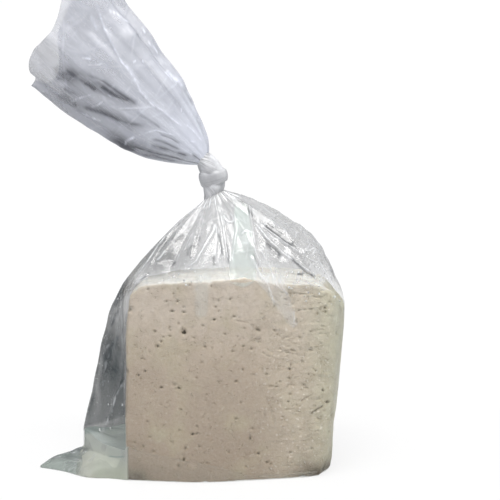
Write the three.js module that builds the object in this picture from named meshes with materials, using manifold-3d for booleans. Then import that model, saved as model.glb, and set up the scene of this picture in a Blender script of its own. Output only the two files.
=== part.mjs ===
// A block of firm tofu standing in a clear bag that is knotted above it.
// Millimetres, +Z up. X runs along the block's wide front face, which looks towards -Y. The origin is
// the middle of the block's footprint, on the surface that it stands on.
// Three solids touch end to end: the filled bag, its knot, and the bag's gathered, open tail.

import * as THREE from 'three';
import { mergeVertices } from 'three/addons/utils/BufferGeometryUtils.js';
import Module from 'manifold-3d';

const wasm = await Module();
wasm.setup();

// ---- driving dimensions --------------------------------------------------------------------------

const BLOCK = { width: 118, depth: 78, height: 110 };
const FILM_STAND_OFF = 1;      // film and a skin of liquid outside the block
const FACE_BULGE = 5.5;        // how far the wide faces swell past the block's corners
const RIGHT_RECESS = 6;        // the front right corner lies this far behind the front left one
const SIDE = { foot: 57, swell: 10.2, fullHeight: 95 };   // right side: reach at the foot, swell above
const POCKET = { reach: 91, taper: 0.245, taperFrom: 22, y: -7, round: 6 };   // slack film, left side
const EAR = { reach: 26, height: 11, forward: 7, round: 3 };   // bottom corner of the bag, lying flat
const FOOT_ROUND = 3.5;        // rounding along the block's bottom edges
const UNEVEN = { share: 0.012, above: 8, alongX: 15, alongZ: 21 };   // the cut faces aren't quite flat

const NECK = { x: -12.3, z: 163.5, radius: 6.5, tilt: 20 };
const DOME_PLEAT = 1.5;        // depth of the pleats that run down from the neck
const DOME_WAVES = [           // the pleats round the neck, as waves that add up
  { size: 0.55, count: 14, phase: 0.6 },
  { size: 0.3, count: 9, phase: 2.1 },
  { size: 0.15, count: 23, phase: 0 },
];

const KNOT = { core: 7.6, swell: 0.8, bow: 1.8, bowHeight: 12.6 };
const KNOT_LUMPS = [           // lumps round its core, twisting as they rise
  { size: 0.35, count: 5, twist: 3 },
  { size: 0.25, count: 3, twist: -5 },
];
const KNOT_BANDS = [           // loops of bunched film wrapped round the knot's core
  { x: -12.2, z: 174.6, ring: 6.6, thickness: 2.6, tilt: -35 },
  { x: -12.6, z: 171.4, ring: 5.7, thickness: 2.3, tilt: 22 },
];

const TAIL = {
  x: -18.5, z: 184.2,          // start of its axis, at the top of the knot
  rise: 40.8,                  // angle of the axis above level, going left
  length: 120,                 // to the middle of the mouth
  slant: 0.4,                  // the mouth's upper edge reaches further than its lower one
  wall: 1.2,                   // bunched film
  plug: 14,                    // solid stretch next to the knot
  pleats: 10,
  pleatDepth: 0.13,
  mouthWave: 5,
};
const TAIL_UPPER = { start: 5.5, spread: 4.2 };               // upper edge: spreads with the root of length
const TAIL_LOWER = { start: 4, spread: 30, settle: 33 };      // lower edge: spreads, then settles
const TAIL_THICK = { start: 6.5, spread: 10.5, settle: 45 };  // half its depth, front to back

const GAP = 0.3;               // clearance between solids that touch

// ---- fineness of the facets ----------------------------------------------------------------------

const BAG_PITCH = 5.2;         // spacing of points round the bag
const CORNER_STEPS = 12;       // facets in each rounded corner of the plan
const WALL_LEVELS = [0, 0.012, 0.03, 0.05, 0.08, 0.11, 0.15, 0.21, 0.3, 0.4, 0.5, 0.6, 0.7, 0.8, 0.9, 1];
const DOME_STEPS = 12;
const KNOT_POINTS = 28;
const KNOT_STEPS = 10;
const BAND_POINTS = 10;        // round a band's own section
const TAIL_POINTS = 60;
const TAIL_STEPS = 16;

// ---- helpers -------------------------------------------------------------------------------------

const vec = (x, y, z) => new THREE.Vector3(x, y, z);
const radians = THREE.MathUtils.degToRad;
const settle = (length, scale) => 1 - Math.exp(-length / scale);
const range = (count) => Array.from({ length: count }, (_, index) => index);

/** One closed skin over rings of equal point count, each counter-clockwise about the way of travel. */
function loft(rings) {
  const count = rings[0].length;
  const points = rings.flat();
  const faces = [];
  for (let ring = 0; ring < rings.length - 1; ring += 1) {
    for (let index = 0; index < count; index += 1) {
      const next = (index + 1) % count;
      const [a, b] = [ring * count + index, ring * count + next];
      const [c, d] = [b + count, a + count];
      faces.push(a, b, c, a, c, d);
    }
  }
  for (const [ring, flip] of [[0, true], [rings.length - 1, false]]) {
    const centre = vec(0, 0, 0);
    rings[ring].forEach((point) => centre.addScaledVector(point, 1 / count));
    const hub = points.push(centre) - 1;
    for (let index = 0; index < count; index += 1) {
      const here = ring * count + index;
      const next = ring * count + (index + 1) % count;
      faces.push(hub, ...(flip ? [next, here] : [here, next]));
    }
  }
  const geometry = new THREE.BufferGeometry().setFromPoints(points);
  geometry.setIndex(faces);
  return geometry;
}

/** Joins closed geometries into one. */
function unite(geometries) {
  const solids = geometries.map((geometry) => {
    const bare = new THREE.BufferGeometry();
    bare.setAttribute('position', geometry.getAttribute('position'));
    bare.setIndex(geometry.getIndex());
    const merged = mergeVertices(bare, 1e-4);
    return new wasm.Manifold(new wasm.Mesh({
      numProp: 3,
      vertProperties: new Float32Array(merged.getAttribute('position').array),
      triVerts: new Uint32Array(merged.getIndex().array),
    }));
  });
  const mesh = solids.reduce((whole, solid) => whole.add(solid)).getMesh();
  const joined = new THREE.BufferGeometry();
  joined.setAttribute('position', new THREE.BufferAttribute(mesh.vertProperties, 3));
  joined.setIndex(new THREE.BufferAttribute(mesh.triVerts, 1));
  return joined;
}

// ---- the filled bag ------------------------------------------------------------------------------

const halfWidth = BLOCK.width / 2;
const halfDepth = BLOCK.depth / 2;

const sideReach = (z) => SIDE.foot + SIDE.swell * Math.sin((Math.PI / 2) * (z / SIDE.fullHeight));
const pocketReach = (z) => POCKET.reach - POCKET.taper * Math.max(0, z - POCKET.taperFrom);
const earShare = (z) => Math.max(0, 1 - (z / EAR.height) ** 1.5);

// Corners of the bag's plan, counter-clockwise from the front left one. `shoulder` is the height at
// which the wall turns in to the neck, `rise` how much further up the turn still reaches, and `lean`
// how far it has moved in by then.
const CORNERS = [
  { x: () => -halfWidth - FILM_STAND_OFF, y: -halfDepth, round: 6, shoulder: 100, rise: 16, lean: 2 },
  { x: () => -halfWidth * 0.3, y: -halfDepth - FACE_BULGE, round: 150, shoulder: 103, rise: 14, lean: 1 },
  { x: (z) => sideReach(z) - 5, y: -halfDepth + RIGHT_RECESS, round: 9, shoulder: 99, rise: 26, lean: 3 },
  { x: (z) => sideReach(z) + 1.4, y: 2, round: 30, shoulder: 92, rise: 54, lean: 5 },
  { x: (z) => sideReach(z) - 6, y: halfDepth - 1, round: 9, shoulder: 99, rise: 28, lean: 3 },
  { x: () => halfWidth * 0.1, y: halfDepth + FACE_BULGE, round: 150, shoulder: 103, rise: 14, lean: 1 },
  { x: () => -halfWidth + 1, y: halfDepth - 1, round: 7, shoulder: 100, rise: 16, lean: 2 },
];
const POCKET_CORNER = {
  x: (z) => -pocketReach(z) - 2 - EAR.reach * earShare(z),
  y: POCKET.y,
  shoulder: 88,
  rise: 27,
  lean: 5,
};

/** The plan's corners at height z, as points with a rounding radius. */
function planCorners(z) {
  const low = Math.max(0, FOOT_ROUND - z);
  const inset = FOOT_ROUND - Math.sqrt(FOOT_ROUND ** 2 - low ** 2);
  const shrink = 1 - inset / halfDepth;
  const corners = CORNERS.map(({ x, y, round }) => (
    { at: vec(x(z) * shrink, y * shrink, z), round }
  ));
  const flat = earShare(z);
  corners.push({
    at: vec(POCKET_CORNER.x(z), POCKET_CORNER.y - EAR.forward * flat, z),
    round: THREE.MathUtils.lerp(POCKET.round, EAR.round, flat),
  });
  return corners;
}

/** The rounded plan at height z, as one run of points from the middle of each corner to the next. */
function planRuns(z) {
  const corners = planCorners(z);
  const arcs = corners.map(({ at, round }, index) => {
    const before = corners.at(index - 1).at.clone().sub(at).normalize();
    const after = corners[(index + 1) % corners.length].at.clone().sub(at).normalize();
    const half = before.angleTo(after) / 2;
    const middle = before.clone().add(after).normalize().multiplyScalar(round / Math.sin(half)).add(at);
    const start = at.clone().addScaledVector(before, round / Math.tan(half)).sub(middle);
    const turn = Math.PI - 2 * half;
    return range(CORNER_STEPS + 1).map((step) => (
      start.clone().applyAxisAngle(vec(0, 0, 1), (turn * step) / CORNER_STEPS).add(middle)
    ));
  });
  const centre = CORNER_STEPS / 2;
  return arcs.map((arc, index) => (
    [...arc.slice(centre), ...arcs[(index + 1) % arcs.length].slice(0, centre + 1)]
  ));
}

/** How far each point of a run lies along it. */
function reaches(run) {
  const reach = [0];
  run.slice(1).forEach((point, index) => reach.push(reach[index] + point.distanceTo(run[index])));
  return reach;
}

/** Points at equal steps along a run, without its last one. */
function evenly(run, count) {
  const reach = reaches(run);
  return range(count).map((step) => {
    const target = (reach.at(-1) * step) / count;
    const after = Math.max(1, reach.findIndex((value) => value >= target));
    const share = (target - reach[after - 1]) / (reach[after] - reach[after - 1]);
    return run[after - 1].clone().lerp(run[after], share);
  });
}

const runCounts = planRuns(BLOCK.height / 2).map((run) => Math.round(reaches(run).at(-1) / BAG_PITCH));
const planAt = (z) => planRuns(z).flatMap((run, index) => evenly(run, runCounts[index]));

/** What the corners say about a meridian, eased from corner to corner. */
function meridianTraits() {
  const all = [...CORNERS, POCKET_CORNER];
  return runCounts.flatMap((count, corner) => range(count).map((step) => {
    const ease = THREE.MathUtils.smoothstep(step / count, 0, 1);
    const [from, to] = [all[corner], all[(corner + 1) % all.length]];
    const blend = (key) => THREE.MathUtils.lerp(from[key], to[key], ease);
    return { shoulder: blend('shoulder'), rise: blend('rise'), lean: blend('lean') };
  }));
}

/** The axes of a section whose normal leans left of straight up by `tilt`. */
const sectionAxes = (tilt) => ({
  along: vec(-Math.sin(tilt), 0, Math.cos(tilt)),
  across: vec(Math.cos(tilt), 0, Math.sin(tilt)),
});
const neckCentre = vec(NECK.x, 0, NECK.z);
const neckAxes = sectionAxes(radians(NECK.tilt));

/** A point of the bag's dome: `share` of the way from its foot on the wall to the tilted neck. */
function domePoint(foot, { rise, lean }, share) {
  const angle = Math.atan2(foot.y, foot.x - NECK.x);
  const inward = vec(NECK.x - foot.x, -foot.y, 0).normalize();
  const turn = foot.clone().addScaledVector(inward, lean).add(vec(0, 0, rise));
  const neck = neckCentre.clone()
    .addScaledVector(neckAxes.across, NECK.radius * Math.cos(angle))
    .add(vec(0, NECK.radius * Math.sin(angle), 0));
  const wave = DOME_WAVES.reduce((sum, { size, count, phase }) => (
    sum + size * Math.cos(count * angle + phase)
  ), 0);
  const pleat = DOME_PLEAT * Math.sin(Math.PI * share ** 0.75) * wave;
  return new THREE.QuadraticBezierCurve3(foot, turn, neck)
    .getPoint(share)
    .addScaledVector(inward, -pleat);
}

/** A point of the bag's wall, moved in or out with the unevenness of the block behind it. */
function wallPoint(height, index) {
  const point = planAt(height)[index];
  const start = THREE.MathUtils.smoothstep(height, FOOT_ROUND, FOOT_ROUND + UNEVEN.above);
  const wave = Math.sin(point.x / UNEVEN.alongX + height / UNEVEN.alongZ)
    * Math.cos(height / UNEVEN.alongZ - point.y / UNEVEN.alongX);
  return point.multiply(vec(1, 1, 0).multiplyScalar(UNEVEN.share * start * wave).add(vec(1, 1, 1)));
}

/** The bag from its flat base up the walls, over the shoulders and in to the neck. */
function bagGeometry() {
  const traits = meridianTraits();
  const wall = WALL_LEVELS.map((level) => (
    traits.map(({ shoulder }, index) => wallPoint(shoulder * level, index))
  ));
  const dome = range(DOME_STEPS).map((step) => (
    wall.at(-1).map((foot, index) => domePoint(foot, traits[index], (step + 1) / DOME_STEPS))
  ));
  return loft([...wall, ...dome]);
}

// ---- the knot ------------------------------------------------------------------------------------

const tailTilt = radians(90 - TAIL.rise);
const tailAxes = sectionAxes(tailTilt);

/** A point of the tail's skin: `length` along its axis, `angle` round it, `inside` the wall's offset. */
function tailPoint(length, angle, inside = 0) {
  const upper = Math.sqrt(TAIL_UPPER.start ** 2 + TAIL_UPPER.spread ** 2 * length);
  const lower = TAIL_LOWER.start + TAIL_LOWER.spread * settle(length, TAIL_LOWER.settle);
  const thick = TAIL_THICK.start + TAIL_THICK.spread * settle(length, TAIL_THICK.settle);
  const open = settle(length, TAIL.plug);
  const fold = (0.5 - 0.5 * Math.cos(TAIL.pleats * angle)) * (0.75 + 0.25 * Math.cos(3 * angle + 1));
  const dent = 1 - TAIL.pleatDepth * open * fold;
  const reach = (Math.cos(angle) > 0 ? upper : lower) - inside;
  return vec(TAIL.x, 0, TAIL.z)
    .addScaledVector(tailAxes.along, length)
    .addScaledVector(tailAxes.across, reach * dent * Math.cos(angle))
    .add(vec(0, (thick - inside) * dent * Math.sin(angle), 0));
}

const turns = (count) => range(count).map((index) => (2 * Math.PI * index) / count);

/** Bunched film rising from the neck and bending left into the tail, under two wrapped bands. */
function knotGeometry() {
  const foot = neckCentre.clone().addScaledVector(neckAxes.along, GAP);
  const bow = neckCentre.clone().add(vec(KNOT.bow, 0, KNOT.bowHeight));
  const head = vec(TAIL.x, 0, TAIL.z).addScaledVector(tailAxes.along, -GAP);
  const path = new THREE.QuadraticBezierCurve3(foot, bow, head);
  const core = range(KNOT_STEPS).map((step) => {
    const share = step / KNOT_STEPS;
    const full = Math.sqrt(Math.sin(Math.PI * share));
    const { across } = sectionAxes(THREE.MathUtils.lerp(radians(NECK.tilt), tailTilt, share ** 2));
    return turns(KNOT_POINTS).map((angle) => {
      const lump = KNOT_LUMPS.reduce((sum, { size, count, twist }) => (
        sum + size * Math.cos(count * angle + twist * share)
      ), 0);
      const round = KNOT.core + KNOT.swell * full + lump * full;
      const radius = THREE.MathUtils.lerp(NECK.radius, round, full);
      return path.getPoint(share)
        .addScaledVector(across, radius * Math.cos(angle))
        .add(vec(0, radius * Math.sin(angle), 0));
    });
  });
  const top = turns(KNOT_POINTS).map((angle) => tailPoint(0, angle).addScaledVector(tailAxes.along, -GAP));
  const bands = KNOT_BANDS.map(({ x, z, ring, thickness, tilt }) => (
    new THREE.TorusGeometry(ring, thickness, BAND_POINTS, KNOT_POINTS)
      .rotateY(radians(tilt))
      .translate(x, 0, z)
  ));
  return unite([loft([...core, top]), ...bands]);
}

// ---- the tail ------------------------------------------------------------------------------------

/** A flared, pleated tube of film: solid next to the knot, hollow beyond it and open at its mouth. */
function tailGeometry() {
  const angles = turns(TAIL_POINTS);
  const mouthReach = tailPoint(TAIL.length, 0).distanceTo(tailPoint(TAIL.length, Math.PI)) / 2;
  const mouth = (angle) => (
    TAIL.length + TAIL.slant * mouthReach * Math.cos(angle)
    + TAIL.mouthWave * (Math.sin(2 * angle + 0.7) + 0.5 * Math.sin(5 * angle))
  );
  const outer = range(TAIL_STEPS + 1).map((step) => (
    angles.map((angle) => tailPoint((mouth(angle) * step) / TAIL_STEPS, angle))
  ));
  const inner = range(TAIL_STEPS - 1).map((step) => angles.map((angle) => {
    const length = THREE.MathUtils.lerp(mouth(angle), TAIL.plug, step / (TAIL_STEPS - 2));
    return tailPoint(length, angle, TAIL.wall);
  }));
  return loft([...outer, ...inner]);
}

// ---- the assembly --------------------------------------------------------------------------------

function piece(name, geometry, color, roughness) {
  const material = new THREE.MeshStandardMaterial({ color, roughness, metalness: 0 });
  const mesh = new THREE.Mesh(geometry, material);
  mesh.name = name;
  return mesh;
}

const tofuInBag = new THREE.Group();
tofuInBag.add(
  piece('bag_body', bagGeometry(), 0xbcb2a2, 0.35),
  piece('bag_knot', knotGeometry(), 0xb8b9bc, 0.3),
  piece('bag_tail', tailGeometry(), 0xc0c2cc, 0.2),
);

export default tofuInBag;
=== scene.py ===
"""A block of firm tofu standing in a clear bag that is knotted above it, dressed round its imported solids.

Sizes are named in millimetres, and a mesh is turned to metres when it is made. X runs along the block's
wide front face, which looks towards -Y. The origin is the middle of the block's footprint.
"""

import itertools
import math

import bpy
import numpy as np
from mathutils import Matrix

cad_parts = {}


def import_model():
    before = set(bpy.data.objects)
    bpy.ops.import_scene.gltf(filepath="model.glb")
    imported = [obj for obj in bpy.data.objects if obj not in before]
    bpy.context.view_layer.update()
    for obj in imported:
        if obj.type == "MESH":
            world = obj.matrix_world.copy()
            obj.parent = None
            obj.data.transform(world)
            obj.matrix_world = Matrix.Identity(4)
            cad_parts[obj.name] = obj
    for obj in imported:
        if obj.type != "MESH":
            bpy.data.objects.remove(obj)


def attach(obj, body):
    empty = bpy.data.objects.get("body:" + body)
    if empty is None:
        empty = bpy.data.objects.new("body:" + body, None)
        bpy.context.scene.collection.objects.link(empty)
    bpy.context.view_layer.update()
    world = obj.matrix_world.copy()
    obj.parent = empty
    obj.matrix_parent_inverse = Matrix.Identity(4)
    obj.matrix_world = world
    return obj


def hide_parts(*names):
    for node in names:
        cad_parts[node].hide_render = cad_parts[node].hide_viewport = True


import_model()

MM = 0.001
TAU = 2 * math.pi
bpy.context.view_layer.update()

# ---- named sizes, in millimetres -----------------------------------------------------------------

BLOCK = {"width": 118, "depth": 78, "height": 113, "lift": 0.15}
STAND_OFF = 1                  # film and a skin of liquid outside the block
FACE_BULGE = 5.5               # how far the wide faces swell past the block's corners
RIGHT_RECESS = 6               # the front right corner lies this far behind the front left one
SIDE = {"foot": 56.4, "swell": 10.8, "full_height": 95}
POCKET = {"reach": 91, "taper": 0.245, "taper_from": 22, "y": -7, "round": 6}
EAR = {"reach": 26, "height": 11, "forward": 7, "round": 3}
FOOT_ROUND = 1.1
UNEVEN = {"share": 0.012, "above": 8, "along_x": 15, "along_z": 21}
# Where the foot stands out: how far, where it does so most, its reach along the foot, the heights over which
# it fades, and where it begins, towards the right or the front.
RIGHT_FOOT = {"out": 3.2, "most": -15, "reach": 11, "fades": (3, 30), "begins": (35, 50)}
SLACK_FOOT = {"out": 5.2, "most": -84, "reach": 12, "fades": (2, 24), "begins": (2, 16)}
BASE_CENTRE = np.array([-6.0, 0, 0])

NECK = {"x": -12.3, "z": 163.0, "radius": 6.4, "tilt": 29}
KNOT = {"core": 7.1, "swell": 0.7, "bow": 2.4, "bow_height": 12.6}
TAIL = {"x": -18.5, "z": 184.2, "rise": 40.8, "length": 120, "slant": 0.4, "plug": 14, "pleats": 10,
        "pleat_depth": 0.13, "mouth_wave": 5}
TAIL_UPPER = {"start": 5.5, "spread": 4.2}
TAIL_LOWER = {"start": 4, "spread": 30, "settle": 33}
TAIL_THICK = {"start": 6.5, "spread": 10.5, "settle": 45}
TAIL_FILM = 0.25               # thickness of the tail's film, doubled by its fine crinkles

WHEY = {"level": 17, "climb": 4.5, "climbs": (76, 91), "inside": 0.4, "reach": 92, "foot": 0.1,
        "middle": -40.0, "sag": 0.8, "under_right": 4, "rows": 60, "rings": 44}
WHEY_FRONT_LINE = [(-60.3, 19.8), (-49.2, 16.2), (-38.1, 14.9), (-27.9, 12.9), (-18.2, 11.4), (-7, 8.8),
                   (4.3, 5.5), (12, 3)]   # how far it creeps up the front face, as x and z

# Height at which the film turns in to the neck above each corner, how far it still rises, and its lean.
SHOULDERS = [(107, 14, 1.5), (110, 12, 0.8), (106, 26, 2.0), (92, 58, 2),
             (106, 26, 2.5), (110, 12, 0.8), (107, 14, 1.5), (88, 27, 5)]
PITCHES = [0.75, 0.75, 1.05, 1.3, 2.0, 2.0, 1.2, 0.85]   # spacing of the film's columns between corners

# The camera stands level with the top of the filled bag, a little right of the block's middle.
CAMERA = {"place": (10, -489, 155), "pitch": 2.97, "lens": 57.86, "sensor": 36}

HALF_WIDTH = BLOCK["width"] / 2
HALF_DEPTH = BLOCK["depth"] / 2
FRONT_BULGE = (-HALF_WIDTH * 0.3, -HALF_DEPTH - FACE_BULGE)   # x and y where the front face swells most
RIGHT_INSET = 5                # the front right corner lies this far inside the right side
DEPTHWAYS = np.array([0, 1, 0])


# ---- numbers that vary smoothly or at random -----------------------------------------------------

def smooth(value, low, high):
    """0 below `low`, 1 above `high`, eased between."""
    share = np.clip((np.asarray(value, dtype=float) - low) / (high - low), 0, 1)
    return share * share * (3 - 2 * share)


def lerp(low, high, share):
    return low + (high - low) * share


def bell(value, width):
    """1 where `value` is 0, falling off over `width` to both sides."""
    return np.exp(-((value / width) ** 2))


def scrambled(cells, seed):
    """A number from 0 to 1 for each whole-numbered cell."""
    x, y, z = (cells[..., axis].astype(np.int64) for axis in range(3))
    mixed = (x * 374761393 + y * 668265263 + z * 1440662683 + seed * 974634777) & 0xFFFFFFFF
    mixed = ((mixed ^ (mixed >> 15)) * 2246822519) & 0xFFFFFFFF
    mixed = ((mixed ^ (mixed >> 13)) * 3266489917) & 0xFFFFFFFF
    return ((mixed ^ (mixed >> 16)) & 0xFFFFFF) / 0xFFFFFF


def lumps(points, size, seed, layers=1):
    """Soft lumps about `size` across, from -1 to 1, with finer ones on top for each further layer."""
    total, weight = 0.0, 0.0
    for layer in range(layers):
        place = points / (np.asarray(size) * 0.5**layer)
        cell = np.floor(place)
        inside = place - cell
        ease = inside * inside * (3 - 2 * inside)
        value = 0.0
        for corner in itertools.product((0, 1), repeat=3):
            share = np.prod(np.where(corner, ease, 1 - ease), axis=-1)
            value = value + share * scrambled(cell + corner, seed + 31 * layer)
        total = total + (2 * value - 1) * 0.5**layer
        weight += 0.5**layer
    return total / weight


def bend(points, by, size, seed):
    """Points moved about by up to `by`, in lumps about `size` across."""
    return points + by * np.stack([lumps(points, size, seed + axis) for axis in range(3)], axis=-1)


def crumple(points, size, seed, waves=7):
    """Flat facets about `size` across as in crumpled film, and marks along their sharp creases."""
    rng = np.random.default_rng(seed)
    bent = bend(points, size * 0.3, size * 2.2, seed)
    total, edges = 0.0, 0.0
    for wave_number in range(waves):
        length = size * rng.uniform(0.8, 2.2)
        way = rng.normal(size=3)
        wave = bent @ way / (np.linalg.norm(way) * length) + rng.random()
        part = wave - np.floor(wave)
        total = total + np.abs(part - 0.5) * 4 - 1
        crest = bell(np.minimum(part, 1 - part) * length, 0.5)
        whole = smooth(lumps(points, size * 0.8, seed + 9 + wave_number), 0.12, 0.5)
        edges = np.maximum(edges, crest * whole)
    return total / math.sqrt(waves), edges


def painted_room_reflection(normals, seed, size=0.5):
    """A painted reflection of the room: how a surface catches it by the way it faces, dark -1, light 1."""
    return np.clip(1.7 * lumps(normals, size, seed, 2), -1, 1)


def pleats(angle, count, seed, drift=0.0):
    """Straight-sided folds round an axis, unequal in width and depth, from -1 to 1."""
    rng = np.random.default_rng(seed)
    places = (np.arange(count) + rng.uniform(-0.36, 0.36, count)) * TAU / count
    heights = np.where(np.arange(count) % 2, 1, -1) * rng.uniform(0.35, 1, count)
    return np.interp(np.mod(angle + drift, TAU), places, heights, period=TAU)


def beside_line(places, line):
    """How far places are from a bent line through (x, z) points, and how far along it, from 0 to 1."""
    line = np.asarray(line, dtype=float)
    nearest = np.full(places.shape[:-1], 1e9)
    along = np.zeros(places.shape[:-1])
    steps = np.linalg.norm(np.diff(line, axis=0), axis=1)
    done = 0.0
    for start, end, step in zip(line[:-1], line[1:], steps):
        share = np.clip(((places - start) @ (end - start)) / step**2, 0, 1)
        away = np.linalg.norm(places - start - share[..., None] * (end - start), axis=-1)
        closer = away < nearest
        nearest = np.where(closer, away, nearest)
        along = np.where(closer, (done + share * step) / steps.sum(), along)
        done += step
    return nearest, along


def line_marks(places, line, width):
    """1 along a bent line, fading over `width` to its sides and at its ends."""
    nearest, along = beside_line(places, line)
    return bell(nearest, width) * smooth(along, 0, 0.12) * smooth(1 - along, 0, 0.2)


def strongest(places, lines):
    """The strongest mark of several lines, each given by its points, width and strength."""
    marks = np.zeros(places.shape[:-1])
    for line, width, strength in lines:
        marks = np.maximum(marks, strength * line_marks(places, line, width))
    return marks


def band_marks(places, line, start_width, end_width, soft):
    """1 within half a width of a bent line, with narrow soft sides; the width changes along the line."""
    nearest, along = beside_line(places, line)
    half = lerp(start_width, end_width, along)
    return smooth(half - nearest, -soft, soft)


def front_view(points):
    """Where points appear to the camera, as x and z on the plane through the knot."""
    eye = np.array(CAMERA["place"], dtype=float)
    seen = eye + (points - eye) * (-eye[1] / (points[..., 1:2] - eye[1]))
    return seen[..., [0, 2]]


def before(points, normals, ease=0.2):
    """1 on the side of a piece that faces the front, easing to 0 at its outline."""
    way = np.array(CAMERA["place"], dtype=float) - points
    way /= np.linalg.norm(way, axis=-1, keepdims=True)
    return smooth((way * normals).sum(axis=-1), 0.0, ease)


# ---- making meshes -------------------------------------------------------------------------------

def deselect_all():
    if bpy.context.object and bpy.context.object.mode != "OBJECT":
        bpy.ops.object.mode_set(mode="OBJECT")
    bpy.ops.object.select_all(action="DESELECT")


def coordinates(piece):
    flat = np.empty(len(piece.data.vertices) * 3)
    piece.data.vertices.foreach_get("co", flat)
    return flat.reshape(-1, 3)


def move_vertices(piece, places):
    piece.data.vertices.foreach_set("co", np.asarray(places, dtype=np.float32).ravel())
    piece.data.update()


def paint(piece, name, values):
    """Stores one number, or three, on each vertex for the piece's material to read."""
    values = np.asarray(values, dtype=np.float32)
    kind, key = ("FLOAT", "value") if values.ndim == 1 else ("FLOAT_VECTOR", "vector")
    layer = piece.data.attributes.new(name, kind, "POINT")
    layer.data.foreach_set(key, values.ravel())


def close_seams(apart=1e-7):
    """Joins the active piece's vertices that meet at seams and poles, and turns its faces outwards."""
    bpy.ops.object.mode_set(mode="EDIT")
    bpy.ops.mesh.select_all(action="SELECT")
    bpy.ops.mesh.remove_doubles(threshold=apart)
    bpy.ops.mesh.dissolve_degenerate(threshold=apart)
    bpy.ops.mesh.select_all(action="SELECT")
    bpy.ops.mesh.normals_make_consistent(inside=False)
    bpy.ops.object.mode_set(mode="OBJECT")
    bpy.ops.object.shade_smooth()


def wrapped_skin(name, rows, marks):
    """A flat grid wrapped over rows of points, in millimetres, with the marks that its material reads."""
    height, width = rows.shape[0] - 1, rows.shape[1] - 1
    deselect_all()
    bpy.ops.mesh.primitive_grid_add(x_subdivisions=width, y_subdivisions=height, size=1)
    piece = bpy.context.object
    piece.name = piece.data.name = name
    flat = coordinates(piece)
    column = np.rint((flat[:, 0] + 0.5) * width).astype(int)
    row = np.rint((flat[:, 1] + 0.5) * height).astype(int)
    move_vertices(piece, rows[row, column] * MM)
    for mark, values in marks.items():
        paint(piece, mark, values[row, column])
    close_seams()
    return piece


def join(name, pieces):
    """One piece out of several."""
    deselect_all()
    for piece in pieces:
        piece.select_set(True)
    bpy.context.view_layer.objects.active = pieces[0]
    bpy.ops.object.join()
    joined = bpy.context.object
    joined.name = joined.data.name = name
    return joined


def finish_piece(piece, material, node):
    """Gives a piece its material, hangs it on the root, and hides the imported part that it stands in for."""
    piece.data.materials.clear()
    piece.data.materials.append(material)
    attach(piece, "root")
    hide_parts(node)
    return piece


def outward(rows):
    """Unit normals of rows of points that close round an axis; the first and last column are the same."""
    ring = rows[:, :-1]
    across = np.roll(ring, -1, axis=1) - np.roll(ring, 1, axis=1)
    up = np.gradient(ring, axis=0)
    normals = np.cross(across, up)
    length = np.linalg.norm(normals, axis=-1, keepdims=True)
    normals = normals / np.maximum(length, 1e-9)
    return np.concatenate([normals, normals[:, :1]], axis=1)


# ---- shaders -------------------------------------------------------------------------------------

class Wire:
    """The output of a node. Arithmetic on it adds Math nodes to the same shader."""

    def __init__(self, shader, socket):
        self.shader, self.socket = shader, socket

    def maths(self, operation, *values):
        return self.shader.node("ShaderNodeMath", {"operation": operation}, dict(enumerate(values)))

    def __add__(self, other):
        return self.maths("ADD", self, other)

    def __radd__(self, other):
        return self.maths("ADD", other, self)

    def __sub__(self, other):
        return self.maths("SUBTRACT", self, other)

    def __rsub__(self, other):
        return self.maths("SUBTRACT", other, self)

    def __mul__(self, other):
        return self.maths("MULTIPLY", self, other)

    def __rmul__(self, other):
        return self.maths("MULTIPLY", other, self)

    def __pow__(self, other):
        return self.maths("POWER", self, other)

    def size(self):
        return self.maths("ABSOLUTE", self)

    def at_most(self, other):
        return self.maths("MINIMUM", self, other)


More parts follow.
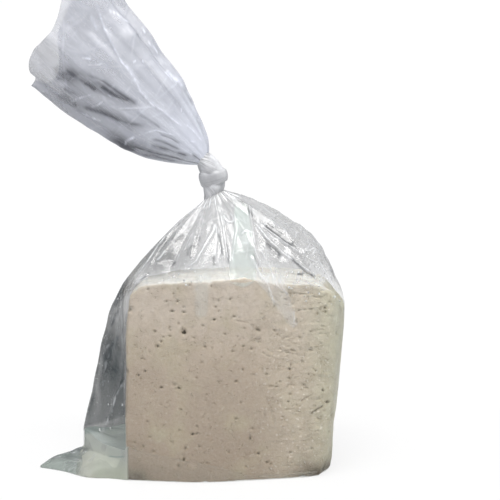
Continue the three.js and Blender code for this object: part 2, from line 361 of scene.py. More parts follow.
class Shader:
    """A material, world or light's nodes, built from calls and arithmetic."""

    def __init__(self, owner):
        self.owner = owner
        owner.use_nodes = True
        self.nodes, self.links = owner.node_tree.nodes, owner.node_tree.links
        self.nodes.clear()

    def node(self, kind, settings=None, sockets=None, output=0):
        made = self.nodes.new(kind)
        for name, value in (settings or {}).items():
            if name == "stops":
                ramp = made.color_ramp
                while len(ramp.elements) < len(value):
                    ramp.elements.new(0.5)
                for element, (place, colour) in zip(ramp.elements, value):
                    element.position, element.color = place, (*colour, 1)
            else:
                setattr(made, name, value)
        for name, value in (sockets or {}).items():
            if isinstance(value, Wire):
                self.links.new(value.socket, made.inputs[name])
            elif isinstance(value, tuple) and len(value) == 3 and made.inputs[name].type == "RGBA":
                made.inputs[name].default_value = (*value, 1)
            else:
                made.inputs[name].default_value = value
        return Wire(self, made.outputs[output])

    def place(self):
        return self.node("ShaderNodeTexCoord", output=3)

    def upwards(self, vector):
        return self.node("ShaderNodeSeparateXYZ", None, {0: vector}, 2)

    def mark(self, name):
        return self.node("ShaderNodeAttribute", {"attribute_name": name}, output=2)

    def mark_vector(self, name):
        return self.node("ShaderNodeAttribute", {"attribute_name": name}, output=1)

    def scaled(self, vector, by):
        return self.node("ShaderNodeVectorMath", {"operation": "MULTIPLY"}, {0: vector, 1: by})

    def noise(self, vector, scale, detail=2.0, roughness=0.5, warp=0.0):
        return self.node("ShaderNodeTexNoise", None, {
            "Vector": vector, "Scale": scale, "Detail": detail, "Roughness": roughness, "Distortion": warp})

    def cells(self, vector, scale):
        return self.node("ShaderNodeTexVoronoi", {"feature": "F1"}, {
            "Vector": vector, "Scale": scale, "Randomness": 1.0})

    def rise(self, value, low, high, start=0.0, end=1.0):
        return self.node("ShaderNodeMapRange", {"interpolation_type": "SMOOTHSTEP"}, {
            "Value": value, "From Min": low, "From Max": high, "To Min": start, "To Max": end})

    def threads(self, noise, thin, wide):
        """1 on the lines where a noise passes its middle value, fading beside them."""
        return self.rise((noise - 0.5).size(), thin, wide, 1, 0)

    def colours(self, share, low, high):
        return self.node("ShaderNodeMix", {"data_type": "RGBA"}, {0: share, 6: low, 7: high}, 2)

    def coats(self, base, *coats):
        """Lays colours over a base one after the other, each with the share that it covers."""
        for share, colour in coats:
            base = self.colours(share, base, colour)
        return base

    def bump(self, height, depth):
        return self.node("ShaderNodeBump", None, {"Height": height, "Distance": depth, "Strength": 1.0})

    def surface(self, **sockets):
        named = {name.replace("_", " "): value for name, value in sockets.items()}
        return self.node("ShaderNodeBsdfPrincipled", None, named)

    def see_through(self, share, surface):
        clear = self.node("ShaderNodeBsdfTransparent")
        return self.node("ShaderNodeMixShader", None, {0: share, 1: clear, 2: surface})

    def output(self, surface, kind="ShaderNodeOutputMaterial"):
        self.links.new(surface.socket, self.nodes.new(kind).inputs["Surface"])
        return self.owner


# Colours of the materials, as linear red, green and blue. The two clear films also differ in how rough they
# are and in how fine their streaks are.
TOFU = {
    "rose": (0.435, 0.357, 0.280), "cream": (0.500, 0.419, 0.330), "low": (0.298, 0.232, 0.172),
    "high": (0.600, 0.534, 0.462), "olive": (0.440, 0.394, 0.268), "torn": (0.620, 0.558, 0.448),
    "side": (0.510, 0.510, 0.375), "top": (0.830, 0.820, 0.765), "spot": (0.330, 0.275, 0.205),
    "painted_glint": (0.800, 0.765, 0.690), "damp": (0.110, 0.090, 0.060), "dent": (0.24, 0.19, 0.11),
    "pore_halo": (0.250, 0.200, 0.100), "pore_shade": (0.066, 0.051, 0.026), "bloom": (0.72, 0.65, 0.56),
}
CLEAR_FILM = {"shade": (0.10, 0.105, 0.11), "light": (0.83, 0.84, 0.86), "rough": 0.19, "streaks": 3.2}
TAIL_LOOKS = {"shade": (0.055, 0.060, 0.080), "light": (0.76, 0.785, 0.875), "rough": 0.33, "streaks": 2.6}
FILM = {"green_shade": (0.30, 0.37, 0.32), "green_light": (0.84, 0.91, 0.90), "shine": (0.92, 0.93, 0.95),
        "smoke": (0.043, 0.053, 0.055)}
BUNCHED = {"dull": (0.50, 0.505, 0.525), "light": (0.62, 0.625, 0.645), "line": (0.26, 0.265, 0.285),
           "shade": (0.20, 0.19, 0.225), "bright": (0.88, 0.89, 0.92)}
CLOUDY = {"dull": (0.410, 0.435, 0.360), "light": (0.465, 0.485, 0.400), "high": (0.400, 0.420, 0.405),
          "surface": (0.440, 0.490, 0.468), "teal": (0.17, 0.235, 0.225), "thin": (0.52, 0.51, 0.44)}
BEAD = {"dull": (0.62, 0.64, 0.64), "light": (0.95, 0.96, 0.96)}


def tofu_material():
    """Firm tofu: greyish cream, faintly mottled with rose and olive, finely pitted and wet."""
    s = Shader(bpy.data.materials.new("fresh_tofu"))
    place, ragged = s.place(), s.mark("ragged")
    height = s.upwards(place)
    mottle = s.noise(place, 42, 4, 0.6)
    grain = s.noise(place, 900, 3, 0.6)
    olive = s.rise(s.noise(place, 48, 2), 0.50, 0.70, 0, 0.45)
    spots = s.rise(s.noise(place, 170, 3, 0.65), 0.40, 0.64, 0.0, 0.30)
    # Painted glints: sparse light specks, more of them in the torn part.
    painted_glints = s.rise(s.noise(place, 620, 2, 0.5), 0.62, 0.70) * (ragged * 0.5 + 0.08)
    cream = s.coats(
        s.colours(s.rise(mottle, 0.34, 0.66), TOFU["rose"], TOFU["cream"]),
        # Painted shade makes the block darker towards its foot, and painted light makes its upper front
        # lighter, as light falls from above.
        (s.rise(height, 0.0, 0.095, 0.86, 0.0), TOFU["low"]),
        (s.rise(height, 0.06, 0.112, 0.0, 0.7), TOFU["high"]),
        (olive, TOFU["olive"]), (ragged * 0.57, TOFU["torn"]), (s.mark("green"), TOFU["side"]),
        # The top mark paints the block's top lighter, as light falling on it from above.
        (s.mark("top"), TOFU["top"]), (spots, TOFU["spot"]), (painted_glints, TOFU["painted_glint"]),
        # Painted contact shadow at the foot.
        (s.mark("damp"), TOFU["damp"]))
    # Pits that are too small for the mesh, painted darker as shade in them: some cells of a fine pattern, and
    # short cracks lying level.
    pits = s.rise(s.cells(place, 640), 0.14, 0.32, 1, 0) * s.rise(s.noise(place, 170, 1), 0.54, 0.66)
    crack = s.noise(s.scaled(place, (0.6, 0.6, 1.0)), 380, 3, 0.6)
    cracks = s.threads(crack, 0.005, 0.03) * s.rise(ragged, 0.2, 1.0)
    cracks = cracks * s.rise(s.noise(place, 150, 2), 0.52, 0.62)
    shaded_pits = (pits * 0.7 + cracks * 0.36).at_most(1.0)
    # Each pore is darkened olive round it, and its irregular pit is painted near black as shade.
    hollow = s.mark("hollow") + (s.noise(place, 1000, 2, 0.6) - 0.5) * 1.5
    pore_shade = s.rise(hollow, 0.40, 0.64) * s.mark("dark") ** 1.4
    colour = s.coats(cream, (shaded_pits * 0.45, TOFU["dent"]), (s.mark("pore") * 0.6, TOFU["pore_halo"]),
                     (pore_shade, TOFU["pore_shade"]), (s.rise(grain, 0.3, 0.7, 0.0, 0.12), TOFU["bloom"]))
    relief = grain * 0.16 + s.noise(place, 240, 3, 0.6) * 0.6 - shaded_pits * 0.6
    surface = s.surface(Base_Color=colour, Roughness=s.rise(mottle, 0.3, 0.7, 0.40, 0.55),
                        Normal=s.bump(relief, 0.0009), IOR=1.38, Subsurface_Weight=0.2,
                        Subsurface_Scale=0.0014, Subsurface_Radius=(1.0, 0.78, 0.55))
    return s.output(surface)


def film_material(name, looks):
    """Thin clear film. The piece's marks say where it hides more, where it is light, and where it gathers."""
    s = Shader(bpy.data.materials.new(name))
    shade, streak_scale = looks["shade"], looks["streaks"]
    place, flow = s.place(), s.mark_vector("flow")
    haze, tone, gather, smoke, green = (s.mark(mark) for mark in ("haze", "tone", "gather", "smoke", "green"))
    # Thin painted highlights and painted dark reflections run down the gathers in loose bundles.
    fine = s.noise(flow, streak_scale, 3, 0.62)
    bundle = s.rise(s.noise(flow, streak_scale * 0.22, 2, 0.5), 0.47, 0.60)
    bright = s.threads(fine, 0.008, 0.032) * bundle
    broad = s.noise(flow, streak_scale * 0.35, 3, 0.6, 0.3)
    glint = s.rise(broad, 0.60, 0.70) * bundle
    dark = s.rise(broad, 0.44, 0.35) * bundle
    # Short fine crinkles that run every way, painted as glints.
    rumple = s.noise(place, 210, 2, 0.5)
    crinkle = s.threads(rumple, 0.0, 0.018) * s.rise(s.noise(place, 330, 2), 0.53, 0.64)
    # Painted highlights: the bright lines, glints and crinkles lighten the film and hide more of what lies
    # behind.
    shine = ((bright * 0.5 + glint * 0.4) * gather + crinkle * gather * 0.35).at_most(1.0)
    hidden = (haze + shine * 0.42 + dark * gather * 0.16).at_most(0.98)
    greenish = s.colours(tone, FILM["green_shade"], FILM["green_light"])
    # The dark lines are painted in half the shade colour, as dark reflections.
    deep = tuple(0.5 * part for part in shade)
    base = s.coats(s.colours(tone, shade, looks["light"]), (green, greenish), (dark * gather * 0.4, deep),
                   (shine, FILM["shine"]), (smoke, FILM["smoke"]))
    relief = fine * gather * 0.22 + broad * gather * 0.6 + rumple * 0.35
    surface = s.surface(Base_Color=base, Roughness=looks["rough"], Normal=s.bump(relief, 0.0008), IOR=1.5,
                        Specular_IOR_Level=1.0)
    return s.output(s.see_through(hidden, surface))


def knot_material():
    """Film bunched so thick that little shows through."""
    s = Shader(bpy.data.materials.new("bunched_film"))
    place, flow = s.place(), s.mark_vector("flow")
    lines = s.noise(flow, 1.5, 3, 0.5)
    patch = s.noise(place, 130, 2, 0.5)
    # The tone mark paints light and the shade mark paints shade on the knot's front.
    base = s.coats(s.colours(s.rise(patch, 0.36, 0.64), BUNCHED["dull"], BUNCHED["light"]),
                   (s.rise(lines, 0.56, 0.70, 0, 0.4), BUNCHED["line"]), (s.mark("shade"), BUNCHED["shade"]),
                   (s.mark("tone"), BUNCHED["bright"]))
    relief = lines * 0.4 + s.noise(place, 330, 2) * 0.3
    surface = s.surface(Base_Color=base, Roughness=0.30, Normal=s.bump(relief, 0.0006), IOR=1.5,
                        Specular_IOR_Level=0.7)
    return s.output(s.see_through(s.rise(patch, 0.3, 0.7, 0.90, 0.97), surface))


def whey_material():
    """Cloudy, faintly green liquid pressed out of the block."""
    s = Shader(bpy.data.materials.new("cloudy_whey"))
    place, thin = s.place(), s.mark("thin")
    cloud = s.noise(place, 60, 3, 0.55)
    base = s.coats(s.colours(s.rise(cloud, 0.2, 0.8), CLOUDY["dull"], CLOUDY["light"]),
                   (s.rise(s.upwards(place), 0.004, 0.0165, 0.0, 0.7), CLOUDY["high"]),
                   # The surface mark paints the liquid's top lighter, as the light and reflection it shows;
                   # the teal mark paints what it reflects.
                   (s.mark("surface"), CLOUDY["surface"]), (s.mark("teal"), CLOUDY["teal"]),
                   (thin, CLOUDY["thin"]))
    surface = s.surface(Base_Color=base, Roughness=0.24, IOR=1.34,
                        Normal=s.bump(s.noise(place, 110, 2), 0.0005))
    hidden = s.rise(cloud, 0.2, 0.8, 0.88, 0.95) * (1 - thin * 0.89)
    return s.output(s.see_through(hidden, surface))


def droplet_material():
    """Clear water, painted whitish for its glints, some beads brighter than others."""
    s = Shader(bpy.data.materials.new("droplet_water"))
    wet = s.noise(s.place(), 700, 1)
    base = s.colours(s.rise(wet, 0.4, 0.6), BEAD["dull"], BEAD["light"])
    surface = s.surface(Base_Color=base, Roughness=0.05, IOR=1.34)
    return s.output(s.see_through(s.rise(wet, 0.35, 0.65, 0.35, 0.75), surface))


# ---- the bag's form ------------------------------------------------------------------------------

def side_reach(z):
    return SIDE["foot"] + SIDE["swell"] * np.sin(np.pi / 2 * z / SIDE["full_height"])


def stands_out(foot, along, z):
    """The share by which a foot stands out, by the place along it and the height."""
    return bell(along - foot["most"], foot["reach"]) * (1 - smooth(z, *foot["fades"]))


def foot_push(y, z):
    """How far the foot of the right side stands out."""
    return RIGHT_FOOT["out"] * stands_out(RIGHT_FOOT, y, z)


def uneven(x, y, z):
    """What the bag and the block swell and shrink by, above their foot."""
    wave = (np.sin(x / UNEVEN["along_x"] + z / UNEVEN["along_z"])
            * np.cos(z / UNEVEN["along_z"] - y / UNEVEN["along_x"]))
    return 1 + UNEVEN["share"] * smooth(z, FOOT_ROUND, FOOT_ROUND + UNEVEN["above"]) * wave


def plan_corners(z):
    """Corners of the bag's plan at height z, counter-clockwise from the front left, with their rounding."""
    low = max(0.0, FOOT_ROUND - z)
    shrink = 1 - (FOOT_ROUND - math.sqrt(FOOT_ROUND**2 - low**2)) / HALF_DEPTH
    flat = max(0.0, 1 - (z / EAR["height"]) ** 1.5)
    reach = side_reach(z)
    slack = POCKET["reach"] - POCKET["taper"] * max(0.0, z - POCKET["taper_from"])
    corners = [
        (-HALF_WIDTH - 2.1, -HALF_DEPTH, 3),
        (*FRONT_BULGE, 150),
        (reach - RIGHT_INSET, -HALF_DEPTH + RIGHT_RECESS, 9 + 8 * max(0.0, 1 - z / 18) ** 2),
        (reach + 1.4, 2, 30),
        (reach - 6, HALF_DEPTH - 1, 9),
        (HALF_WIDTH * 0.1, HALF_DEPTH + FACE_BULGE, 150),
        (-HALF_WIDTH + 1, HALF_DEPTH - 1, 7),
    ]
    corners = [(complex(x, y) * shrink, rounding) for x, y, rounding in corners]
    ear = complex(-slack - 2 - EAR["reach"] * flat, POCKET["y"] - EAR["forward"] * flat)
    corners.append((ear, lerp(POCKET["round"], EAR["round"], flat)))
    return corners


def plan_runs(z, steps=24):
    """The rounded plan at height z: a run of points from the middle of each corner to the next."""
    corners = plan_corners(z)
    arcs = []
    for index, (corner, rounding) in enumerate(corners):
        before = corners[index - 1][0] - corner
        after = corners[(index + 1) % len(corners)][0] - corner
        before, after = before / abs(before), after / abs(after)
        half = abs(np.angle(before / after)) / 2
        inward = (before + after) / abs(before + after)
        middle = corner + inward * rounding / math.sin(half)
        start = corner + before * rounding / math.tan(half) - middle
        turn = (math.pi - 2 * half) * np.linspace(0, 1, steps + 1)
        arcs.append(middle + start * np.exp(1j * turn))
    centre = steps // 2
    following = arcs[1:] + arcs[:1]
    return [np.concatenate([arc[centre:], after[:centre + 1]]) for arc, after in zip(arcs, following)]


def run_length(run):
    return np.concatenate([[0], np.cumsum(np.abs(np.diff(run)))])


RUN_ORDER = [5, 6, 7, 0, 1, 2, 3, 4]   # the seam lies at the middle of the back
_middle_runs = plan_runs(BLOCK["height"] / 2)
RUN_COUNTS = [round(run_length(run)[-1] / pitch) for run, pitch in zip(_middle_runs, PITCHES)]
PLAN_HEIGHTS = np.unique(np.concatenate(
    [np.linspace(0, 4, 17), np.linspace(4, 14, 21), np.linspace(14, 120, 60)]))


def plan_at(z):
    """Points round the plan at height z, in the same columns at every height."""
    runs = plan_runs(z)
    points = []
    for index in RUN_ORDER:
        run, count = runs[index], RUN_COUNTS[index]
        reach = run_length(run)
        target = reach[-1] * np.arange(count) / count
        points.append(np.interp(target, reach, run.real) + 1j * np.interp(target, reach, run.imag))
    points = np.concatenate(points)
    # The slack side's foot stands forward beside the block, and the right side's foot stands out.
    forward = SLACK_FOOT["out"] * stands_out(SLACK_FOOT, points.real, z)
    forward = forward * smooth(-points.imag, *SLACK_FOOT["begins"])
    rightward = foot_push(points.imag, z) * smooth(points.real, *RIGHT_FOOT["begins"])
    points = points - 1j * forward + rightward
    return np.append(points, points[0])


PLANS = np.array([plan_at(z) for z in PLAN_HEIGHTS])


def between_plans(heights, columns):
    """Points of the plans' columns at heights of any value."""
    index = np.interp(heights, PLAN_HEIGHTS, np.arange(len(PLAN_HEIGHTS)))
    low = np.clip(np.floor(index).astype(int), 0, len(PLAN_HEIGHTS) - 2)
    below, above = PLANS[low, columns], PLANS[low + 1, columns]
    return below + (index - low) * (above - below)


def corner_traits():
    """Shoulder height, rise and lean of each column, eased from corner to corner."""
    traits = []
    for index in RUN_ORDER:
        here, there = np.array(SHOULDERS[index]), np.array(SHOULDERS[(index + 1) % len(SHOULDERS)])
        ease = smooth(np.arange(RUN_COUNTS[index]) / RUN_COUNTS[index], 0, 1)
        traits.append(here + (there - here) * ease[:, None])
    traits = np.concatenate(traits)
    return np.concatenate([traits, traits[:1]]).T


def wall_points(heights):
    """Points of the bag's wall; heights has a row for each level and a column for each column of film."""
    plan = between_plans(heights, np.arange(heights.shape[1])[None, :])
    grow = uneven(plan.real, plan.imag, heights)
    return np.stack([plan.real * grow, plan.imag * grow, heights], axis=-1)


def section_axes(tilt):
    """Axes of a section whose normal leans left of straight up by `tilt`."""
    return np.array([-math.sin(tilt), 0, math.cos(tilt)]), np.array([math.cos(tilt), 0, math.sin(tilt)])


NECK_CENTRE = np.array([NECK["x"], 0, NECK["z"]])
NECK_ALONG, NECK_ACROSS = section_axes(math.radians(NECK["tilt"]))


def dome_points(foot, rise, lean, shares):
    """Rows of the bag's dome from its foot on the wall to the tilted neck."""
    angle = np.arctan2(foot[:, 1], foot[:, 0] - NECK["x"])
    inward = np.stack([NECK["x"] - foot[:, 0], -foot[:, 1], np.zeros(len(foot))], axis=-1)
    inward /= np.linalg.norm(inward, axis=-1, keepdims=True)
    turn = foot + inward * lean[:, None] + np.outer(rise, [0, 0, 1])
    ring = np.outer(np.cos(angle), NECK_ACROSS) + np.outer(np.sin(angle), DEPTHWAYS)
    neck = NECK_CENTRE + NECK["radius"] * ring
    t = shares[:, None, None]
    return (1 - t) ** 2 * foot + 2 * t * (1 - t) * turn + t**2 * neck, angle


# ---- the film round the block --------------------------------------------------------------------

WALL_ROWS, DOME_ROWS = 98, 140
# Creases of the film's front, as x and z seen from the front: points, width, height, strength of the painted
# highlight.
DOME_CREASES = [
    ([(-10.6, 146.9), (-12, 140.7), (-15.2, 135.3), (-18.3, 129.9), (-21.9, 124.6), (-23.7, 119.2)],
     0.8, 1, 1),
    ([(-22, 123.3), (-26, 120.5), (-29, 119.2)], 0.6, 0.4, 0.9),
    ([(-8.4, 153.1), (-6.6, 146), (-4.6, 132.7), (-2.6, 119.2)], 0.55, 0.8, 0.9),
    ([(-10.4, 145.5), (-10.2, 135.7), (-11.3, 122.3)], 0.55, 0.6, 0.8),
    ([(-7.5, 133.5), (-8.6, 126.6), (-9.8, 119.2)], 0.55, 0.6, 0.85),
    ([(-9.2, 144.3), (-8.6, 136.9), (-6.5, 122.3)], 0.5, 0.5, 0.7),
    ([(-6.6, 151.8), (-5.2, 149.1), (-3, 146.9), (0.1, 146.9), (-0.8, 150), (-3, 152.7)], 0.6, 0.5, 1),
    ([(4.1, 138.4), (7.7, 140.2), (12.1, 139.3)], 0.7, 0.4, 1),
    ([(0.3, 152.8), (1.5, 140), (-1.9, 116.8)], 0.5, 0.9, 0.5),
    ([(9.4, 158.2), (11.8, 141.8), (13.4, 128.4)], 0.5, 0.9, 0.45),
    ([(11.2, 147.9), (20.2, 136.2), (31.8, 126.3), (46.1, 116.5), (57.8, 103.9)], 0.6, 0.9, 1),
    ([(14.8, 146.9), (29.1, 136.2), (36.3, 130.8), (42.5, 126.3)], 0.6, 0.7, 0.8),
    ([(12.4, 146.7), (22.2, 134.5), (30.1, 127.8)], 0.5, 0.6, 0.7),
    ([(9.5, 127.2), (16.6, 113.7), (21.1, 108.3), (23.4, 100.9), (25.6, 93.1)], 0.65, 0.8, 1),
    ([(11.5, 132.1), (14.9, 123.5), (18.5, 115)], 0.5, 0.5, 0.8),
    ([(15.7, 129.9), (22, 119.2), (26.5, 108.3), (31.9, 103)], 0.55, 0.5, 0.75),
    ([(24.6, 119.2), (30, 106.6), (36.3, 97.6)], 0.6, 0.5, 0.6),
    ([(36.8, 92.5), (37.3, 84.9)], 0.6, 0.4, 0.9),
    ([(42.6, 111), (49.8, 107.5), (57.8, 103.9)], 0.6, 0.5, 0.95),
    ([(52.1, 124.1), (55.1, 119.2), (59.6, 112), (63.2, 103.9)], 0.75, 0.5, 1),
    ([(-39.7, 138.8), (-46.7, 130.2), (-53.2, 121), (-60.4, 111.1)], 0.6, 0.7, 0.9),
    ([(-33.4, 145.1), (-41.1, 136.9), (-48.7, 129)], 0.6, 0.5, 0.5),
    ([(-41.5, 129), (-44.3, 125.4), (-46.9, 122.7)], 0.8, 0.5, 0.8),
    ([(-61.3, 108.3), (-56.5, 112.2), (-51.5, 114.7)], 0.6, 0.5, 0.9),
    ([(-24.7, 140.6), (-28.4, 133.9), (-31.4, 128.4)], 0.6, 0.4, 0.45),
    ([(44.1, 128.4), (47.8, 130.2), (51.4, 128.4)], 0.5, 0.3, 0.8),
    ([(46, 124.1), (50.2, 122.3), (53.9, 124.1)], 0.5, 0.3, 0.8),
    ([(45.4, 118.6), (48.4, 121.7), (50.9, 118.6), (53.9, 116.2)], 0.5, 0.3, 0.8),
    ([(48.4, 133.3), (49, 128.4), (47.2, 124.7)], 0.5, 0.3, 0.7),
    ([(38, 132.1), (42.3, 129.6), (44.1, 122.3)], 0.5, 0.3, 0.6),
    ([(40.5, 117.4), (44.8, 113.1), (50.3, 113.7)], 0.5, 0.3, 0.6),
    ([(-21.8, 107), (-24.5, 104.2), (-23, 102.7)], 0.6, 0.2, 0.8),
]
# Painted shade and dark reflections of the film's front, as lines and patches: points, width, darkness.
DOME_SHADES = [
    ([(18.5, 145.8), (22.8, 143), (27.3, 140.7), (33.6, 135.3), (37.8, 130.2)], 2, 0.95),
    ([(25.8, 141.2), (28.9, 139.4), (31.9, 136.9)], 2.6, 0.5),
    ([(16, 137.7), (21.9, 131.7), (30, 124.8)], 1.3, 0.85),
    ([(34.4, 124.7), (39.3, 120.2), (44.4, 115.6), (51.5, 112.2)], 0.7, 0.9),
    ([(38.4, 115.1), (42.9, 114.5)], 0.8, 0.9),
    ([(-20.6, 139), (-23.2, 132.7), (-25, 128.4), (-26, 124.1)], 1.5, 0.55),
    ([(-25, 132.7), (-27.5, 129.6), (-28.4, 125.4)], 0.9, 0.5),
    ([(-9.2, 140.6), (-7.5, 131.7), (-6.5, 124.7)], 0.6, 0.8),
    ([(-4.9, 135.1), (-3.7, 128.4), (-2.6, 120.5)], 0.6, 0.75),
    ([(-12.2, 126), (-11.8, 119.2)], 0.8, 0.6),
    ([(11.2, 127.2), (17.9, 115)], 0.5, 0.4),
    ([(3.3, 160.6), (5.7, 158.2), (11.2, 151.5), (16.1, 146.7)], 1.2, 0.5),
    ([(-38.7, 136.9), (-45.5, 128.4), (-51.6, 119.9)], 0.7, 0.35),
    ([(-51, 116.2), (-56.6, 110.7), (-61.5, 105.2)], 0.7, 0.6),
    ([(-39.8, 121), (-37.6, 121.7), (-35.3, 123.3)], 0.6, 0.7),
]
POCKET_CREASES = [
    ([(-66, 51), (-71.3, 39.1), (-74.1, 30.6), (-76.4, 25.2), (-79.5, 19.7), (-81, 9.8)], 1.2, 0.9, 0.9),
    ([(-74.4, 30.1), (-72.5, 32.2), (-68.2, 34.7)], 0.6, 0.3, 0.4),
    ([(-75.7, 22.8), (-72.6, 24.4), (-69.5, 26.7), (-68.7, 29)], 1.9, 0.3, 0.65),
    ([(-76.6, 75), (-78, 57.6), (-80, 46.8), (-82.4, 39.1)], 2.8, 0.4, 0.66),
    ([(-71.5, 99), (-73.9, 93.7), (-76.7, 79.9), (-79.8, 66.9), (-82.6, 54.5), (-85, 44.5)], 1.8, 0.3, 0.42),
    ([(-68, 100), (-69.5, 92), (-70.2, 86)], 2.6, 0.3, 0.4),
    ([(-67.3, 82), (-67.6, 76)], 1.6, 0.3, 0.35),
    ([(-62.7, 107.6), (-65.2, 103.3), (-66.1, 97.2)], 0.6, 0.5, 0.6),
    ([(-65.2, 99), (-68.9, 92.3), (-70.8, 83.6)], 0.5, 0.5, 0.4),
    ([(-72.4, 91), (-74, 84.5), (-75.2, 80)], 0.8, 0.5, 0.45),
    ([(-90.4, 20.6), (-87.5, 21.8)], 0.6, 0.3, 0.9),
    ([(-84.5, 27.9), (-83.6, 25.7), (-85.5, 25.1)], 0.5, 0.3, 0.5),
]
POCKET_SHADES = [
    ([(-70.6, 77.5), (-72.9, 73), (-74.5, 68.4), (-73.8, 61.5)], 1.5, 0.8),
    ([(-79.7, 66.2), (-77.9, 61)], 1.0, 0.8),
    ([(-70, 68.4), (-71.5, 57.6), (-73.1, 47)], 2.6, 0.5),
    ([(-84.4, 45), (-88, 32.1), (-90, 25.2)], 1.6, 0.4),
    ([(-70.5, 93), (-72.8, 87.6), (-75.1, 83)], 0.7, 0.7),
    ([(-67, 103), (-70.5, 98.5), (-72.6, 94)], 0.8, 0.6),
    ([(-65.6, 92), (-66.2, 84), (-66.4, 76)], 0.9, 0.6),
]
EAR_CREASES = [
    ([(-106, 3.6), (-98, 4.0), (-89.5, 4.4)], 1.0, 0.4, 0.8),
    ([(-106, 1.0), (-100, 0.4), (-93.6, -1.5)], 0.9, 0.5, 1),
    ([(-89.8, -2), (-87.6, 1), (-85.2, 4.2)], 0.9, 0.5, 0.95),
    ([(-104, -1.6), (-99, -2.2), (-94, -3.6)], 0.9, 0.4, 0.5),
    ([(-113, 0.6), (-108, 1.6), (-104, 0.8)], 0.8, 0.4, 0.8),
]
EAR_SHADES = [
    ([(-102, 5.4), (-95.5, 6.5), (-88.5, 6.6)], 1.5, 1.0),
    ([(-105, 2.2), (-99.5, 2.3), (-95, 0.9)], 0.8, 0.95),
    ([(-96, 2.0), (-92.5, 1.0), (-89.5, 2.0)], 1.7, 0.7),
    ([(-90.5, 0.5), (-88.4, 3), (-86.8, 4.6)], 0.9, 0.7),
    ([(-112, 2.2), (-108, 2.9), (-103, 2.6)], 0.8, 0.6),
]
# Flat folds of doubled film on the front: points from the top down, half widths at their start and end, how
# soft their sides are, the height over which their top fades, haze, tone, green.
VEILS = [
    {"line": [(-19.3, 119), (-19.3, 105.2), (-19.8, 92)], "from": 4.6, "to": 3.8, "soft": 1.5, "fade": 9,
     "haze": 0.2, "tone": 0.2, "green": 0.5},
    {"line": [(20, 116), (25.4, 107.8), (31.9, 92.9), (36.6, 84.5)], "from": 8.5, "to": 2.4, "soft": 0.9,
     "fade": 2, "haze": 0.24, "tone": 0.3, "green": 0.0},
    {"line": [(4.5, 159), (5.5, 138.8), (5.5, 115.5)], "from": 3.6, "to": 8.4, "soft": 0.9, "fade": 5,
     "haze": 0.26, "tone": 0.0, "green": 0.8},
]
# The film's zones: how far out each begins, the heights over which the low ones end, and the shares of the
# dome's rise over which its two sides come in and go out.
RIGHT = {"begins": (5, 45), "in": (0.0, 0.06), "out": (0.55, 0.95)}
LEFT = {"begins": (12, 38), "in": (0.12, 0.34), "out": (0.6, 1.0)}
SLACK = {"begins": (60.4, 61.6), "ends": (102, 122)}
LOW_CORNER = {"begins": (84, 94), "ends": (9, 13)}
RIGHT_STRIP = {"begins": (55, 60), "ends": (100, 112)}
FOLDS = {"wide": 15, "middling": 33, "fine": 74, "frill": 40}   # how many of each lie round the dome
# The painted highlight line where the wet film meets the block's front left edge: x and y.
EDGE_HIGHLIGHT = (-60.6, -38.4)      # x and y of the wet line down the block's front left edge
FAR_EDGE = {"x": -91.4, "z": 20.1, "slope": 0.288}   # the liquid's far edge, as it shows from the front


def side_zone(zone, away, rise):
    return smooth(away, *zone["begins"]) * smooth(rise, *zone["in"]) * (1 - smooth(rise, *zone["out"]))


def low_zone(zone, away, z):
    return smooth(away, *zone["begins"]) * (1 - smooth(z, *zone["ends"]))


def bag_rows():
    """Rows of points over the whole bag, from the middle of its base to the neck, and what they know."""
    shoulder, rise, lean = corner_traits()
    levels = np.concatenate([np.linspace(0, 0.03, 9)[:-1], np.linspace(0.03, 0.13, 21)[:-1],
                             np.linspace(0.13, 1, WALL_ROWS - 28)])
    wall = wall_points(levels[:, None] * shoulder[None, :])
    shares = np.linspace(0, 1, DOME_ROWS + 1)[1:] ** 0.96
    dome, angle = dome_points(wall[-1], rise, lean, shares)
    base = BASE_CENTRE + (wall[0] - BASE_CENTRE) * np.array([0, 0.45, 0.8, 0.94])[:, None, None]
    crown = np.broadcast_to(NECK_CENTRE + NECK_ALONG * 0.5, dome[-1:].shape)
    rows = np.concatenate([base, wall, dome, crown])
    share = np.concatenate([np.zeros(4 + WALL_ROWS), shares, [1.0]])
    held = np.concatenate([np.zeros(5), np.ones(WALL_ROWS - 1 + DOME_ROWS), [0.0]])
    return rows, share, held, angle


